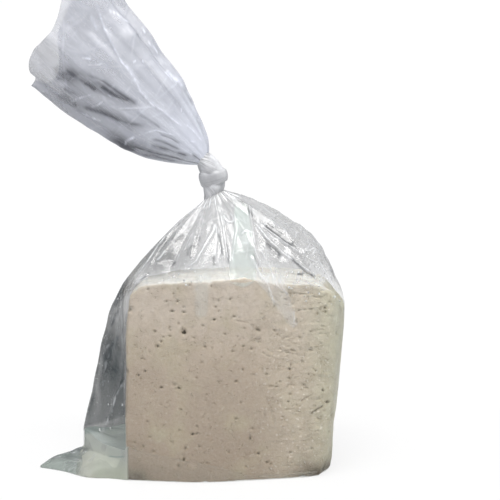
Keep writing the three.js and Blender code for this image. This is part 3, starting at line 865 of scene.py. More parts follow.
def make_bag_film(material):
    rows, share, held, angle = bag_rows()
    share = share[:, None]
    normals = outward(rows)
    x, y, z = (rows[..., axis] for axis in range(3))
    seen = front_view(rows)
    front = before(rows, normals)
    gathered = np.sqrt(np.clip(share, 0, 1))

    # Folds that run down from the neck: a few wide ones, more and finer ones towards the neck.
    ring_size = np.hypot(x - NECK["x"], y)
    wide = pleats(angle, FOLDS["wide"], 11) * smooth(share, 0.0, 0.35)
    wide = wide * (1 - 0.8 * smooth(share, 0.6, 1)) * 2.0
    middling = pleats(angle, FOLDS["middling"], 12, 0.1 * share) * smooth(share, 0.25, 0.7)
    middling = middling * (1 - 0.5 * smooth(share, 0.8, 1)) * 0.8
    fine = pleats(angle, FOLDS["fine"], 13, 0.06 * np.sin(7 * share)) * smooth(share, 0.55, 0.95) * 0.28
    folds = (wide + middling + fine) * np.clip(ring_size / 14, 0.35, 1)

    right, left = side_zone(RIGHT, x, share), side_zone(LEFT, -x, share)
    pocket, ear = low_zone(SLACK, -x, z), low_zone(LOW_CORNER, -x, z)
    dome = smooth(share, 0.02, 0.2)
    loose = 0.15 + 0.42 * dome + 0.9 * right + 0.6 * pocket + 0.5 * ear
    facets, facet_edges = crumple(rows, 21, 5)
    crinkles, crinkle_edges = crumple(rows, 8, 6)
    height = folds + loose * (0.9 * facets + 0.34 * crinkles)
    height = height + 0.2 * lumps(rows, 22, 7) * (1 - dome)

    light = np.zeros_like(x)
    broken = 0.62 + 0.38 * smooth(lumps(rows, 2.2, 8, 2), -0.25, 0.25)
    for line, width, ridge, glow in DOME_CREASES + POCKET_CREASES + EAR_CREASES:
        mark = line_marks(seen, line, width * 0.8) * front * broken
        height = height + ridge * line_marks(seen, line, width * 1.4) * front
        light = np.maximum(light, mark * glow)
    shade = front * strongest(seen, DOME_SHADES + POCKET_SHADES + EAR_SHADES)
    loose_edges = np.clip(dome * (0.35 + 0.65 * right) + 0.35 * pocket + 0.35 * ear, 0, 1)
    # Painted highlights along the edges of the crumpled facets and crinkles.
    light = np.maximum(light, 0.75 * loose_edges * np.maximum(facet_edges, 0.8 * crinkle_edges))
    # Painted highlights on short creases round the neck, and a painted highlight line where the wet film
    # meets the block's front left edge.
    frill = smooth(share, 0.90, 0.94) * (1 - smooth(share, 0.97, 0.995))
    light = np.maximum(light, 0.9 * frill * smooth(pleats(angle, FOLDS["frill"], 15), 0.1, 0.5))
    edge_highlight = bell(np.hypot(x - EDGE_HIGHLIGHT[0], y - EDGE_HIGHLIGHT[1]), 0.9)
    light = np.maximum(light, 0.4 * edge_highlight * (1 - dome))

    # Where the film lies against the block it may only stand out, and the base stays flat.
    against = (1 - dome) * (1 - pocket)
    height = np.where(height < 0, height * (1 - 0.85 * against), height * (1 - 0.45 * against))
    height = height * held[:, None] * smooth(z, 0.0, 4.0)
    rows = rows + normals * height[..., None]
    rows[..., 2] = np.maximum(rows[..., 2], 0.02)
    room_reflection = painted_room_reflection(outward(rows), 19)

    strip = low_zone(RIGHT_STRIP, x, z) * (1 - 0.7 * smooth(y, 0, 20))
    clings = (1 - dome) * (1 - pocket) * (1 - ear) * (1 - strip)
    low_dome = 1 - smooth(share, 0.15, 0.45)
    haze = 0.04 * clings + 0.13 * strip + dome * (0.31 - 0.14 * low_dome + 0.26 * smooth(share, 0.5, 1.0))
    haze = haze + 0.10 * right + 0.16 * left + 0.10 * dome * np.abs(room_reflection) * (1 - 0.5 * low_dome)
    # The slack side is painted dark over the liquid, as a reflection of dark surroundings: its far film from
    # the liquid up, its near film from where the liquid's far edge shows.
    near = smooth(-normals[..., 1], -0.1, 0.1)
    wet_line = whey_level(x) - 1.5
    far_edge = FAR_EDGE["z"] + FAR_EDGE["slope"] * (seen[..., 0] - FAR_EDGE["x"])
    dry = lerp(smooth(z - wet_line, -0.6, 0.6), smooth(seen[..., 1] - far_edge, -0.6, 0.8), near)
    smoke = pocket * dry * (1 - ear) * (0.6 + 0.4 * (1 - smooth(z, 62, 98)))
    smoke = smoke * (1 - 0.2 * smooth(-seen[..., 0], 76, 84))
    haze = haze + pocket * (0.14 + lerp(0.68, 0.62, near) * smoke) + 0.50 * ear
    green = np.clip(0.85 * strip + 0.35 * ear + 0.3 * pocket * (1 - dry), 0, 1)
    # The film's tone is painted light, shade and reflection: darker on the left, over the slack side and the
    # ear, and varied by the painted room reflection.
    tone = 0.42 + 0.06 * smooth(share, 0.3, 0.9) - 0.06 * right - 0.30 * left - 0.32 * pocket * (1 - dome)
    tone = tone - 0.32 * ear
    tone = tone + room_reflection * (0.07 + 0.17 * right + 0.06 * left + 0.12 * pocket + 0.12 * ear)
    for veil in VEILS:
        mark = band_marks(seen, veil["line"], veil["from"], veil["to"], veil["soft"]) * front
        mark = mark * smooth(veil["line"][0][1] - seen[..., 1], -1, veil["fade"])
        haze = haze + veil["haze"] * mark
        tone = tone + veil["tone"] * mark
        green = np.maximum(green, veil["green"] * mark)
        gathered = gathered * (1 - 0.9 * mark * veil["green"])
    haze = np.clip(haze + 0.6 * light * (0.5 + 0.5 * dome) + 0.5 * shade, 0, 0.97)
    tone = np.clip(tone - 0.8 * shade + 0.6 * light, 0, 1)
    gathered = gathered * (1 - 0.6 * smooth(share, 0.7, 0.95))
    gather = np.clip(dome * (0.15 + 0.30 * gathered) + 0.2 * pocket + 0.15 * ear, 0, 1) * np.ones_like(x)
    smoke = np.clip(1.55 * smoke * (1 - 0.95 * light) * (1 - 0.35 * room_reflection), 0, 1)
    green = green * (1 - light) * (1 - 0.7 * shade)

    turn = TAU * np.arange(rows.shape[1]) / (rows.shape[1] - 1)
    turn = np.broadcast_to(turn, x.shape)
    along = np.broadcast_to(np.linspace(0, 1, rows.shape[0])[:, None], x.shape)
    flow = np.stack([9 * np.cos(turn), 9 * np.sin(turn), 2.2 * along], axis=-1)
    marks = {"haze": haze, "tone": tone, "gather": gather, "smoke": smoke, "green": green, "flow": flow}
    film = wrapped_skin("bag_film", rows, marks)
    film.visible_shadow = False
    return finish_piece(film, material, "bag_body")


# ---- the block of tofu ---------------------------------------------------------------------------

# Height of the front face's upper edge, as x and z.
TOP_EDGE = [(-60, 106.5), (-58, 107.6), (-56.4, 109), (-54, 110.8), (-52.4, 111.6), (-46, 112.6),
            (-38.7, 113.3), (-28, 113.9), (-11, 114.8), (6, 116.3), (14.5, 114.4), (23, 113.1), (36, 112),
            (44, 112.2), (55.5, 109), (61, 107)]
# Open pores of the front face: x, z, half width, half height, depth, darkness; the darkness tints them olive
# round about and paints shade in their pits.
PORES = [
    (-47.3, 109.6, 0.7, 0.5, 0.8, 0.5), (-23.8, 112.1, 0.6, 0.5, 0.8, 0.5),
    (-11.6, 111.6, 0.4, 0.9, 0.9, 0.55), (-30.4, 110, 0.5, 0.4, 0.6, 0.5),
    (-33.1, 107.3, 0.5, 0.4, 0.7, 0.6), (-29.7, 108.2, 0.5, 0.3, 0.6, 0.45),
    (-37, 102.9, 0.8, 0.5, 1, 0.6), (-30.6, 102.8, 0.5, 0.6, 0.9, 0.7),
    (-33.8, 97.4, 1, 0.6, 1.2, 0.6), (-27.1, 97, 0.9, 0.6, 1.1, 0.55),
    (-27.3, 99.9, 0.7, 0.5, 0.7, 0.4), (-7.4, 103.5, 0.6, 0.8, 0.8, 0.4),
    (-9.4, 99.9, 0.6, 0.6, 0.8, 0.45), (-7.6, 97.2, 0.6, 0.5, 0.8, 0.45),
    (-10.1, 92.5, 0.9, 0.7, 1.4, 0.8), (-6.4, 93.8, 0.5, 0.4, 0.6, 0.5),
    (-1.2, 103.9, 0.6, 0.6, 0.8, 0.5), (1, 94.2, 0.9, 0.6, 0.8, 0.4),
    (-29.8, 90.7, 0.5, 0.7, 0.8, 0.5), (-43.4, 86, 0.7, 0.6, 0.9, 0.55),
    (-35, 88.6, 0.6, 0.5, 0.7, 0.5), (-34.8, 86.8, 0.6, 0.4, 0.7, 0.5),
    (-27.1, 85.5, 1.1, 1.1, 2.4, 1), (-16.4, 89.2, 0.8, 0.6, 0.8, 0.4),
    (-21.5, 82.7, 0.9, 0.5, 0.7, 0.35), (-35, 83.4, 0.7, 0.6, 1, 0.6),
    (-38.7, 82.9, 0.5, 0.4, 0.6, 0.4), (-40.2, 80.2, 0.6, 0.6, 1, 0.65),
    (-42.1, 77.6, 0.7, 0.7, 1.4, 0.8), (-15.3, 77.5, 0.6, 0.6, 0.9, 0.5),
    (-4.1, 84.3, 0.6, 0.6, 0.9, 0.5), (6.2, 77.4, 0.8, 0.5, 1, 0.65), (6.8, 87.3, 0.6, 0.6, 0.8, 0.5),
    (-51.3, 70.4, 0.6, 0.5, 0.8, 0.6), (-49.7, 70, 0.5, 0.5, 0.7, 0.5),
    (-49.4, 63.2, 0.7, 0.6, 1.3, 0.8), (-53.1, 60.6, 0.6, 0.6, 1.1, 0.7),
    (-51.8, 58.8, 0.5, 0.6, 0.7, 0.5), (-39.9, 54.1, 0.9, 0.6, 1.3, 0.65),
    (-30.2, 53.9, 0.9, 0.6, 1.3, 0.65), (-32.5, 55.9, 1.5, 0.9, 0.7, 0.3),
    (5.7, 64, 0.6, 0.5, 0.9, 0.55), (2.3, 57.5, 0.8, 0.6, 1, 0.6), (-17.3, 68.7, 1, 0.7, 0.6, 0.25),
    (-9.7, 67.3, 0.5, 0.3, 0.5, 0.4), (-20, 59.9, 0.8, 0.6, 0.6, 0.3), (-8, 57.4, 1.1, 0.4, 0.6, 0.3),
    (-48, 34.2, 0.7, 0.5, 0.9, 0.5), (-38.7, 32.8, 0.6, 0.4, 0.7, 0.45),
    (-28.9, 41.6, 0.6, 0.5, 0.8, 0.5), (-40.3, 44.3, 0.6, 0.5, 0.7, 0.4),
    (-30, 29.8, 0.6, 0.4, 0.8, 0.55), (-22.4, 27.8, 0.8, 0.7, 1.5, 0.85),
    (-19.7, 28.1, 1.1, 0.6, 0.9, 0.45), (-20, 32.2, 0.5, 0.7, 0.7, 0.45),
    (-46.7, 25.7, 0.6, 0.5, 0.9, 0.55), (-55.8, 22.1, 0.7, 0.5, 0.9, 0.5),
    (-50.3, 20.1, 0.6, 0.8, 0.7, 0.35), (-34.7, 23.1, 0.7, 0.6, 0.7, 0.3),
    (-44.6, 17.5, 0.8, 0.6, 0.8, 0.4), (-26.5, 19.8, 0.6, 0.9, 1, 0.55),
    (-27.4, 13.2, 0.7, 1, 1.3, 0.7), (-30.1, 9.8, 0.6, 0.6, 1, 0.6), (-18.7, 20.7, 0.6, 0.5, 0.8, 0.5),
    (14.7, 86.2, 1.3, 1, 1.3, 0.6), (10.7, 75.4, 0.8, 0.7, 1, 0.55), (15, 79.3, 1, 0.5, 0.8, 0.35),
    (25.5, 83.5, 0.6, 0.6, 0.9, 0.55), (23.7, 86, 0.6, 0.5, 0.7, 0.4), (38.3, 81.7, 1.1, 0.7, 1, 0.4),
    (31, 81.9, 0.9, 0.4, 0.8, 0.4), (52.9, 98.5, 0.6, 0.8, 1.2, 0.65), (53.1, 95.9, 0.6, 0.8, 1.2, 0.6),
    (48.5, 94.8, 0.8, 0.5, 0.9, 0.45), (44.9, 74.2, 1.2, 0.6, 0.9, 0.35), (33.2, 65.7, 0.6, 0.7, 1, 0.5),
    (32.5, 63.4, 0.8, 0.8, 1.2, 0.55), (32.1, 58.5, 1, 0.5, 1, 0.5), (27, 56.4, 0.6, 0.5, 0.8, 0.45),
    (24.8, 53.6, 0.8, 0.5, 1.2, 0.65), (21.6, 54, 1.6, 0.7, 0.7, 0.3), (43.5, 60, 0.6, 0.5, 0.8, 0.5),
    (40.9, 54.2, 0.8, 0.5, 1, 0.5), (51.7, 50.5, 0.5, 0.8, 1.2, 0.7), (32.9, 49.2, 0.7, 0.5, 1, 0.6),
    (31.8, 44.9, 0.5, 0.6, 1, 0.65), (54.6, 43.8, 1.1, 0.8, 1.7, 0.8), (49.1, 34.3, 0.7, 0.5, 0.8, 0.45),
    (19.4, 60.7, 0.9, 0.4, 0.8, 0.35), (12.1, 60.9, 1.1, 0.4, 0.7, 0.35), (11.1, 30, 0.9, 0.5, 0.8, 0.35),
    (10.3, 24.4, 0.6, 1.1, 1.2, 0.65), (14.7, 15.4, 0.8, 0.6, 1.1, 0.6), (19.7, 9.9, 0.8, 0.6, 1, 0.5),
    (22, 9.1, 0.8, 0.5, 0.9, 0.45), (45.5, 17, 0.6, 0.6, 0.9, 0.55), (33.3, 15.3, 0.6, 0.5, 0.7, 0.45),
    (-2.2, 16.9, 0.6, 0.7, 0.8, 0.45), (2.1, 36.1, 0.7, 0.7, 0.8, 0.45), (4.9, 45.1, 0.6, 0.5, 0.8, 0.4),
    (-14.5, 50.3, 0.5, 0.5, 0.6, 0.4), (-10.3, 45, 0.5, 0.4, 0.5, 0.35), (-4.1, 30, 0.5, 0.5, 0.6, 0.35),
    (-0.1, 74.3, 0.5, 0.5, 0.6, 0.35), (-25.9, 74.5, 0.5, 0.4, 0.5, 0.3), (-46.4, 74.1, 0.5, 0.5, 0.6, 0.35),
    (-55.2, 49.3, 0.5, 0.5, 0.6, 0.35), (-35.1, 46.5, 0.5, 0.4, 0.5, 0.3), (-14.3, 11.3, 0.7, 0.5, 0.9, 0.45),
    (7.7, 8.3, 0.6, 0.5, 0.6, 0.4), (38.6, 28.3, 0.6, 0.4, 0.7, 0.4), (28.8, 36.2, 0.6, 0.5, 0.7, 0.4),
    (39.6, 67.6, 0.7, 0.5, 0.8, 0.4), (47.7, 62.1, 0.6, 0.5, 0.8, 0.4), (36.1, 90.6, 0.7, 0.5, 0.7, 0.35),
]
# Cracks of the front face: points in x and z, half width, depth, darkness; the darkness tints them olive and
# paints shade in them.
CRACKS = [
    ([(44.4, 36.7), (49, 39.8), (54.6, 43.8)], 0.55, 1.3, 0.55),
    ([(43.6, 84.7), (47.6, 85.2), (51.9, 86.2)], 0.5, 1.0, 0.5),
    ([(36.1, 96.8), (40.7, 97.5), (47.6, 97.9)], 0.4, 0.8, 0.35),
    ([(10.3, 79.4), (13.4, 80.8), (16.8, 81.3)], 0.4, 0.7, 0.35),
    ([(33.8, 107.1), (38.3, 106.2), (45.2, 106.9)], 0.4, 0.7, 0.25),
    ([(27.6, 73.6), (32.7, 74.6), (37.3, 73.4)], 0.4, 0.8, 0.3),
    ([(38.6, 44.5), (42, 46.7), (45.5, 48.4)], 0.45, 0.8, 0.35),
    ([(16.8, 73.9), (19.1, 71.5), (22.5, 70.9)], 0.4, 0.6, 0.25),
    ([(30.5, 40.2), (36.3, 40.6), (42, 39.2)], 0.4, 0.7, 0.2),
    ([(44.7, 105), (49.8, 104.3), (55.6, 106.2)], 0.4, 0.7, 0.2),
    ([(1.6, 91.8), (7.2, 91.1), (11.1, 92.2)], 0.4, 0.5, 0.2),
    ([(28.7, 77.6), (32.7, 78.3), (36.7, 77.7)], 0.4, 0.7, 0.25),
    ([(18.5, 52.1), (20.2, 45.2), (22.5, 38.2), (24.2, 30.1)], 1.6, 0.3, 0.13),
]
BACK_EDGE = {"z": 115.3, "wave": 21, "drop": 3.5}   # the top's back edge: height, wave, drop at both ends
BLOCK_SIDE = {"foot": 56.8, "lean": 2.4, "bulge": 9.5}   # reach of the right side, and more above and midway
PITS = {"count": 330, "x": (-56, 58), "z": (4, 110)}   # small seeded pits of the front face
OTHER_PORES = 900              # places tried for pores all over; those on the front face are left out
BLOCK_CUTS = ((53, 1), (35, 1), (51, 1))   # along x, y and z: first the whole cube, then each cell


def whey_level(x):
    """Height of the liquid, which climbs where the slack film narrows to its edge."""
    return WHEY["level"] + WHEY["climb"] * smooth(-x, *WHEY["climbs"])


def smooth_max(a, b, soft):
    return (a + b) / 2 + np.sqrt(((a - b) / 2) ** 2 + soft**2)


def cut(kind, chosen, count):
    """Cuts the chosen edges or faces of the active piece."""
    bpy.ops.object.mode_set(mode="EDIT")
    bpy.ops.mesh.select_all(action="DESELECT")
    bpy.ops.mesh.select_mode(type=kind)
    bpy.ops.object.mode_set(mode="OBJECT")
    mesh = bpy.context.object.data
    parts = mesh.edges if kind == "EDGE" else mesh.polygons
    parts.foreach_set("select", chosen)
    bpy.ops.object.mode_set(mode="EDIT")
    bpy.ops.mesh.subdivide(number_cuts=count)
    bpy.ops.object.mode_set(mode="OBJECT")


def cut_block(name):
    """A cube cut into cells about 1.1 mm wide, with a finer front face."""
    deselect_all()
    bpy.ops.mesh.primitive_cube_add(size=2)
    block = bpy.context.object
    block.name = block.data.name = name
    for axis, cuts in enumerate(BLOCK_CUTS):
        for count in cuts:
            places = coordinates(block)
            pairs = np.empty(len(block.data.edges) * 2, dtype=int)
            block.data.edges.foreach_get("vertices", pairs)
            ends = places[pairs.reshape(-1, 2)]
            chosen = np.abs(ends[:, 0, axis] - ends[:, 1, axis]) > 1e-5
            cut("EDGE", chosen, count)
    facing = np.empty(len(block.data.polygons) * 3)
    block.data.polygons.foreach_get("normal", facing)
    cut("FACE", facing.reshape(-1, 3)[:, 1] < -0.9, 1)
    return block


def block_form(unit):
    """The block's own form from a cube's points between -1 and 1: rounded edges, bulges, an uneven top."""
    half = np.array([HALF_WIDTH, HALF_DEPTH, BLOCK["height"] / 2])
    rounding = 1.9 + 3.0 * smooth(unit[:, :1], 0.7, 1.0)
    rounding = lerp(0.7, rounding, smooth(unit[:, 2:], -0.98, -0.75))
    place = unit * half
    inner = np.clip(place, -half + rounding, half - rounding)
    out = place - inner
    away = np.linalg.norm(out, axis=-1, keepdims=True)
    place = np.where(away > 1e-9, inner + out / np.maximum(away, 1e-9) * rounding, place)
    a, b = place[:, 0] / HALF_WIDTH, place[:, 1] / HALF_DEPTH
    rest = (place[:, 2] + half[2]) / (2 * half[2])
    across = place[:, 0]
    edge = np.array(TOP_EDGE).T
    top_front = np.interp(across, edge[0], edge[1])
    top_front = top_front + 0.5 * lumps(np.stack([across, 0 * a, 0 * a], -1), 6, 3, 3)
    top_back = BACK_EDGE["z"] + np.sin(across / BACK_EDGE["wave"] + 1)
    top_back = top_back - BACK_EDGE["drop"] * smooth(np.abs(a), 0.6, 1.0)
    top = lerp(top_front, top_back, smooth(b, -1, 0.1)) - 9.5 * smooth(a, 0.78, 1.0) * smooth(b, -1.0, -0.6)
    z = BLOCK["lift"] + rest * (top - BLOCK["lift"])

    reach = side_reach(np.clip(z, 0, SIDE["full_height"]))
    corner_x, corner_y = reach - RIGHT_INSET, -HALF_DEPTH + RIGHT_RECESS
    x_at = -HALF_WIDTH + (a + 1) / 2 * (corner_x + HALF_WIDTH)
    bulge_x, bulge_y = FRONT_BULGE
    left_line = -HALF_DEPTH + (bulge_y + HALF_DEPTH) * (x_at + 60) / (bulge_x + 60)
    right_line = bulge_y + (corner_y - bulge_y) * (x_at - bulge_x) / (corner_x - bulge_x)
    y_front = smooth_max(left_line, right_line, 1.45) + STAND_OFF
    y_back = HALF_DEPTH + 3.6 * (1 - a**2) - 0.6
    y = lerp(y_front, y_back, (b + 1) / 2)
    # The right side bulges by itself, but no further than the film there lets it.
    own = BLOCK_SIDE["foot"] + BLOCK_SIDE["lean"] * smooth(z, 0, 105)
    own = own + BLOCK_SIDE["bulge"] * np.clip(1 - (b - 0.05) ** 2 / 1.05, 0, 1)
    film = reach + 0.2 - np.where(b < 0, 6.4 * b**2, 7.2 * b**2) + foot_push(y, z)
    x_right = -smooth_max(-own, -film, 0.5)
    x_left = -HALF_WIDTH - 1.8 + 3.6 * smooth(z, 76, 112) ** 1.3
    x = lerp(x_left, x_right, (a + 1) / 2)
    grow = uneven(x, y, z)
    x, y = x * grow, y * grow
    # The foot is drawn in as the bag's foot is, more at the front right corner.
    low = 0.3 * np.clip(1 - z / 3, 0, 1) ** 2
    x = x - np.sign(a) * low * np.abs(a) ** 6
    y = y - np.sign(b) * low * np.abs(b) ** 6
    corner = smooth(a, 0.5, 1) * smooth(-b, 0.2, 1) * np.clip(1 - z / 18, 0, 1) ** 2
    return np.stack([x - 0.4 * corner, y + 1.6 * corner, z], axis=-1)


def vertex_normals(piece):
    flat = np.empty(len(piece.data.vertices) * 3, dtype=np.float32)
    piece.data.vertices.foreach_get("normal", flat)
    return flat.reshape(-1, 3)


def make_tofu(material):
    block = cut_block("tofu_block")
    places = block_form(coordinates(block))
    move_vertices(block, places * MM)
    normals = vertex_normals(block)
    x, y, z = places.T
    front = smooth(-normals[:, 1], 0.6, 0.9)
    ragged = front * (0.12 + 0.75 * smooth(x, 6, 36)) + (1 - front) * 0.5
    green = (1 - front) * smooth(x, 40, 56) * 0.65 * (1 - smooth(y, -8, 14)) + front * 0.6 * smooth(x, 36, 58)
    green = np.maximum(green, front * 0.35 * smooth(lumps(places, 26, 40, 2), 0.25, 0.6))

    # Soft unevenness, then a torn relief in level plates, rougher at the right of the front face.
    relief = 0.28 * lumps(places, 11, 41, 3)
    torn = lumps(places, (7.5, 7.5, 3.2), 43, 3)
    plates = smooth(lumps(places, (9, 9, 3.4), 45, 3), -0.08, 0.12)
    relief = relief + ragged * (0.28 * torn + 0.20 * plates)
    relief = relief - 0.30 * ragged * smooth(lumps(places, (7, 7, 2.6), 44, 2), 0.3, 0.65)

    # Pores: the listed ones on the front face, and a seeded scatter over the other faces.
    rng = np.random.default_rng(17)
    bent = bend(places, 0.22, 1.5, 50)
    depth, hollow, pore, dark = (np.zeros(len(places)) for _ in range(4))
    facing = normals[:, 1] < -0.7

    def dig(chosen, shape, deep, darkness):
        """Sinks the chosen points by a dent's shape and marks how far in and how dark they are; the darkness
        tints olive round them and paints shade in them.
        """
        depth[chosen] = np.maximum(depth[chosen], deep * shape)
        hollow[chosen] = np.maximum(hollow[chosen], shape)
        pore_halo = np.maximum(darkness * shape, 0.45 * darkness**2 * shape**0.25)
        pore[chosen] = np.maximum(pore[chosen], pore_halo)
        dark[chosen] = np.maximum(dark[chosen], darkness * smooth(shape, 0.02, 0.2))

    spots = bent[facing][:, [0, 2]]

    def oval(px, pz, wide, high):
        """How far outside an oval the front face's points are, squared."""
        return ((spots[:, 0] - px) / wide) ** 2 + ((spots[:, 1] - pz) / high) ** 2

    for px, pz, wide, high, deep, darkness in PORES:
        dig(facing, np.exp(-0.8 * oval(px, pz, wide, high)), deep, darkness)
    torn_edge = smooth(lumps(places[facing], 1.7, 57, 2), -0.3, 0.25)
    for line, wide, deep, darkness in CRACKS:
        dig(facing, (0.25 + 0.7 * torn_edge) * line_marks(spots, line, wide * 1.1), deep, darkness)
    # Small seeded pits between them, more and flatter ones in the torn part at the right.
    for _ in range(PITS["count"]):
        px, pz = rng.uniform(*PITS["x"]), rng.uniform(*PITS["z"])
        torn_part = smooth(px, 8, 34) * smooth(pz, 18, 40)
        if rng.random() < 0.45 + 0.55 * torn_part:
            wide, high = rng.uniform(0.35, 0.6 + 0.6 * torn_part), rng.uniform(0.35, 0.55)
            darkness = rng.uniform(0.10, 0.28 + 0.06 * torn_part)
            dig(facing, np.exp(-oval(px, pz, wide, high)), 0.5 + 0.2 * torn_part, darkness)
    starts = rng.integers(0, len(places), OTHER_PORES)
    for start in starts[~facing[starts]]:
        size = 0.7 + 0.8 * rng.random() ** 3
        squash = 1 / rng.uniform(0.8, 1.4, 3)
        near = np.abs(bent - places[start]).max(axis=1) < 3 * size
        away = (((bent[near] - places[start]) * squash / size) ** 2).sum(axis=1)
        dig(near, np.exp(-away), 1.2 * size, rng.uniform(0.25, 0.6))
    # The top faces are painted lighter in the material, as light from above falls on them.
    top = smooth(normals[:, 2], 0.55, 0.92)
    # A painted contact shadow darkens the foot, most at its two corners.
    corners = bell(x + 56, 9) + 0.95 * bell(x - 50, 13) + 0.16
    damp = corners * bell(z, 8.5 + 3.0 * lumps(places, 6, 58, 2))
    places = places + normals * (relief - depth)[:, None]
    places[:, 2] = np.maximum(places[:, 2], 0.1)
    move_vertices(block, places * MM)
    for name, values in (("hollow", hollow), ("pore", pore), ("dark", dark), ("ragged", ragged),
                         ("green", green), ("top", top), ("damp", damp)):
        paint(block, name, np.clip(values, 0, 1))
    bpy.ops.object.shade_smooth()
    return finish_piece(block, material, "bag_body")


# ---- the liquid in the bag's foot ----------------------------------------------------------------

def make_whey(material):
    """The liquid fills the slack side to its level and creeps up between film and block."""
    last = PLANS.shape[1] - 1
    columns = np.unique(np.append(np.arange(0, last, 2), last))
    plan = PLANS[np.searchsorted(PLAN_HEIGHTS, WHEY["level"]), columns]
    x, y = plan.real, plan.imag
    falling = np.array(WHEY_FRONT_LINE).T
    beside_faces = smooth(np.abs(y), 20, 36) * smooth(x, -62, -60)
    level = lerp(whey_level(x), np.interp(x, *falling), beside_faces)
    level = lerp(level, WHEY["under_right"] + np.sin(y / 13), smooth(x, 40, 52))
    level[-1] = level[0]
    shares = np.linspace(0, 1, WHEY["rows"])
    heights = WHEY["foot"] + (level[None, :] - WHEY["foot"]) * shares[:, None]
    edge = between_plans(heights, columns[None, :])
    wall = np.stack([np.maximum(edge.real, -WHEY["reach"]), edge.imag, heights], axis=-1)
    normals = outward(wall)
    normals[..., 2] = 0
    wall = wall - normals * WHEY["inside"]
    base = BASE_CENTRE + (wall[:1] - BASE_CENTRE) * np.array([0, 0.5, 0.93])[:, None, None]
    base[..., 2] = WHEY["foot"]
    # The surface dips away from the film, as a wetting liquid does.
    middle = np.array([WHEY["middle"], 0, WHEY["level"] - WHEY["sag"]])
    rim = wall[-1:]
    inner = np.linspace(0, 1, WHEY["rings"])[1:, None, None]
    top = rim + (middle - rim) * inner
    dipped = rim[..., 2] - 0.3 * smooth(inner[..., 0], 0, 0.06)
    top[..., 2] = lerp(dipped, middle[2], smooth(inner[..., 0], 0.04, 0.4))
    rows = np.concatenate([base, wall, top])
    x, y, z = (rows[..., axis] for axis in range(3))
    beside_block = smooth(x, -60.5, -58.5) * smooth(np.abs(y), 28, 34)
    beside_block = np.maximum(beside_block, smooth(x, 38, 48))
    thin = beside_block * (1 - 0.15 * bell(z - np.interp(x, *falling), 0.5))
    thin = np.maximum(thin, 0.6 * smooth(-x, 76, 90) * (1 - smooth(z, 6, 14)))
    # The top rows are painted lighter in the material, as light and reflection on the liquid's surface.
    surface = np.zeros_like(thin)
    surface[len(base) + len(wall):] = 1.0
    # A darker teal pane painted on the liquid for what it reflects and shows through, with a curved foot, and
    # a dark line painted under the liquid's far edge as shade.
    seen_x, seen_z = np.moveaxis(front_view(rows), -1, 0)
    pane = smooth(seen_x, -78.5, -76.5) * smooth(-seen_x, 66, 69)
    pane = pane * smooth(seen_z, 0.4, 1.6) * smooth(-seen_z, -12, -6)
    foot = bell(seen_z - 1.6 - 0.02 * (seen_x + 72) ** 2, 0.5)
    under = np.exp(-(((seen_z - 21.0 - 0.22 * (seen_x + 77)) / 2.2) ** 4))
    teal = 0.12 * pane + 0.55 * pane * foot
    teal = np.maximum(teal, under * lerp(0.5, 0.15, smooth(seen_x, -80, -74)))
    whey = wrapped_skin("whey", rows, {"thin": thin, "surface": surface, "teal": np.clip(teal, 0, 1)})
    whey.visible_shadow = False
    return finish_piece(whey, material, "bag_body")


# ---- the tail ------------------------------------------------------------------------------------

TAIL_COLUMNS, TAIL_ROWS = 212, 204
TAIL_FOLDS = {"wide": 17, "fine": 46}   # how many of each lie round the tail
TAIL_TILT = math.radians(90 - TAIL["rise"])
TAIL_ALONG, TAIL_ACROSS = section_axes(TAIL_TILT)
TAIL_START = np.array([TAIL["x"], 0, TAIL["z"]])
# Creases with painted highlights, and dark folds with painted shade, of the tail's front, as for the dome.
TAIL_CREASES = [
    ([(-82.8, 278.6), (-77.2, 262.4), (-71.9, 251.8), (-67.4, 243.4), (-60.6, 235), (-56, 225.2),
      (-49.2, 217.5), (-43.7, 214.6), (-30.7, 203.9)], 0.85, 1.6, 1),
    ([(-65.9, 241.8), (-62.3, 238.8), (-59.3, 232.2), (-56.9, 227.5)], 1.9, 0.5, 0.6),
    ([(-91.5, 245.3), (-85, 244.6)], 0.9, 0.4, 1),
    ([(-88, 240.8), (-81.2, 241.2), (-78.1, 242.3)], 0.6, 0.4, 0.8),
    ([(-77.1, 274.5), (-70.2, 272.2), (-61.1, 266.1)], 0.9, 0.5, 0.6),
    ([(-54.6, 264.5), (-52.7, 259.5)], 0.9, 0.4, 1),
    ([(-40.6, 238.6), (-36.8, 233.5), (-30, 227.6)], 1.3, 0.6, 1),
    ([(-44.8, 248.3), (-48.3, 252.5), (-51.9, 256)], 0.8, 0.4, 0.6),
    ([(-60.4, 242.7), (-58.6, 243.9)], 0.7, 0.2, 0.9),
    ([(-55, 243.9), (-52.6, 242.1)], 0.7, 0.2, 0.9),
    ([(-85.9, 216.4), (-81.8, 217.3), (-78.5, 219.7)], 0.8, 0.5, 1),
    ([(-98.2, 219.2), (-92.6, 221.5), (-84.7, 223.9)], 0.6, 0.5, 0.6),
    ([(-92.1, 212.8), (-84.6, 209.1), (-79.4, 207.3)], 0.8, 0.5, 1),
    ([(-70.5, 215.2), (-56.8, 215.2), (-46.2, 216.7)], 0.5, 0.5, 0.65),
    ([(-65.7, 192.7), (-64.7, 196.1), (-59, 198.3)], 1, 0.5, 1),
    ([(-39.5, 211), (-35.3, 207.7), (-30.5, 204.3)], 0.6, 0.4, 1),
    ([(-31.7, 215.7), (-31.3, 213.1)], 0.6, 0.2, 0.9),
    ([(-26.3, 195.7), (-22.7, 195.1)], 0.8, 0.2, 0.9),
    ([(-54.5, 200.1), (-46.9, 202.2), (-34, 198.6)], 0.6, 0.4, 0.65),
    ([(-94.8, 237), (-85.2, 230.5), (-75.7, 223.3), (-68.5, 219.7)], 0.6, 0.5, 0.5),
    ([(-28.7, 205.9), (-22.7, 199.9), (-18.4, 194.5)], 0.6, 0.4, 0.7),
    ([(-86, 271.5), (-83.1, 265.5), (-80.7, 261.4)], 1.6, 0.3, 0.5),
]
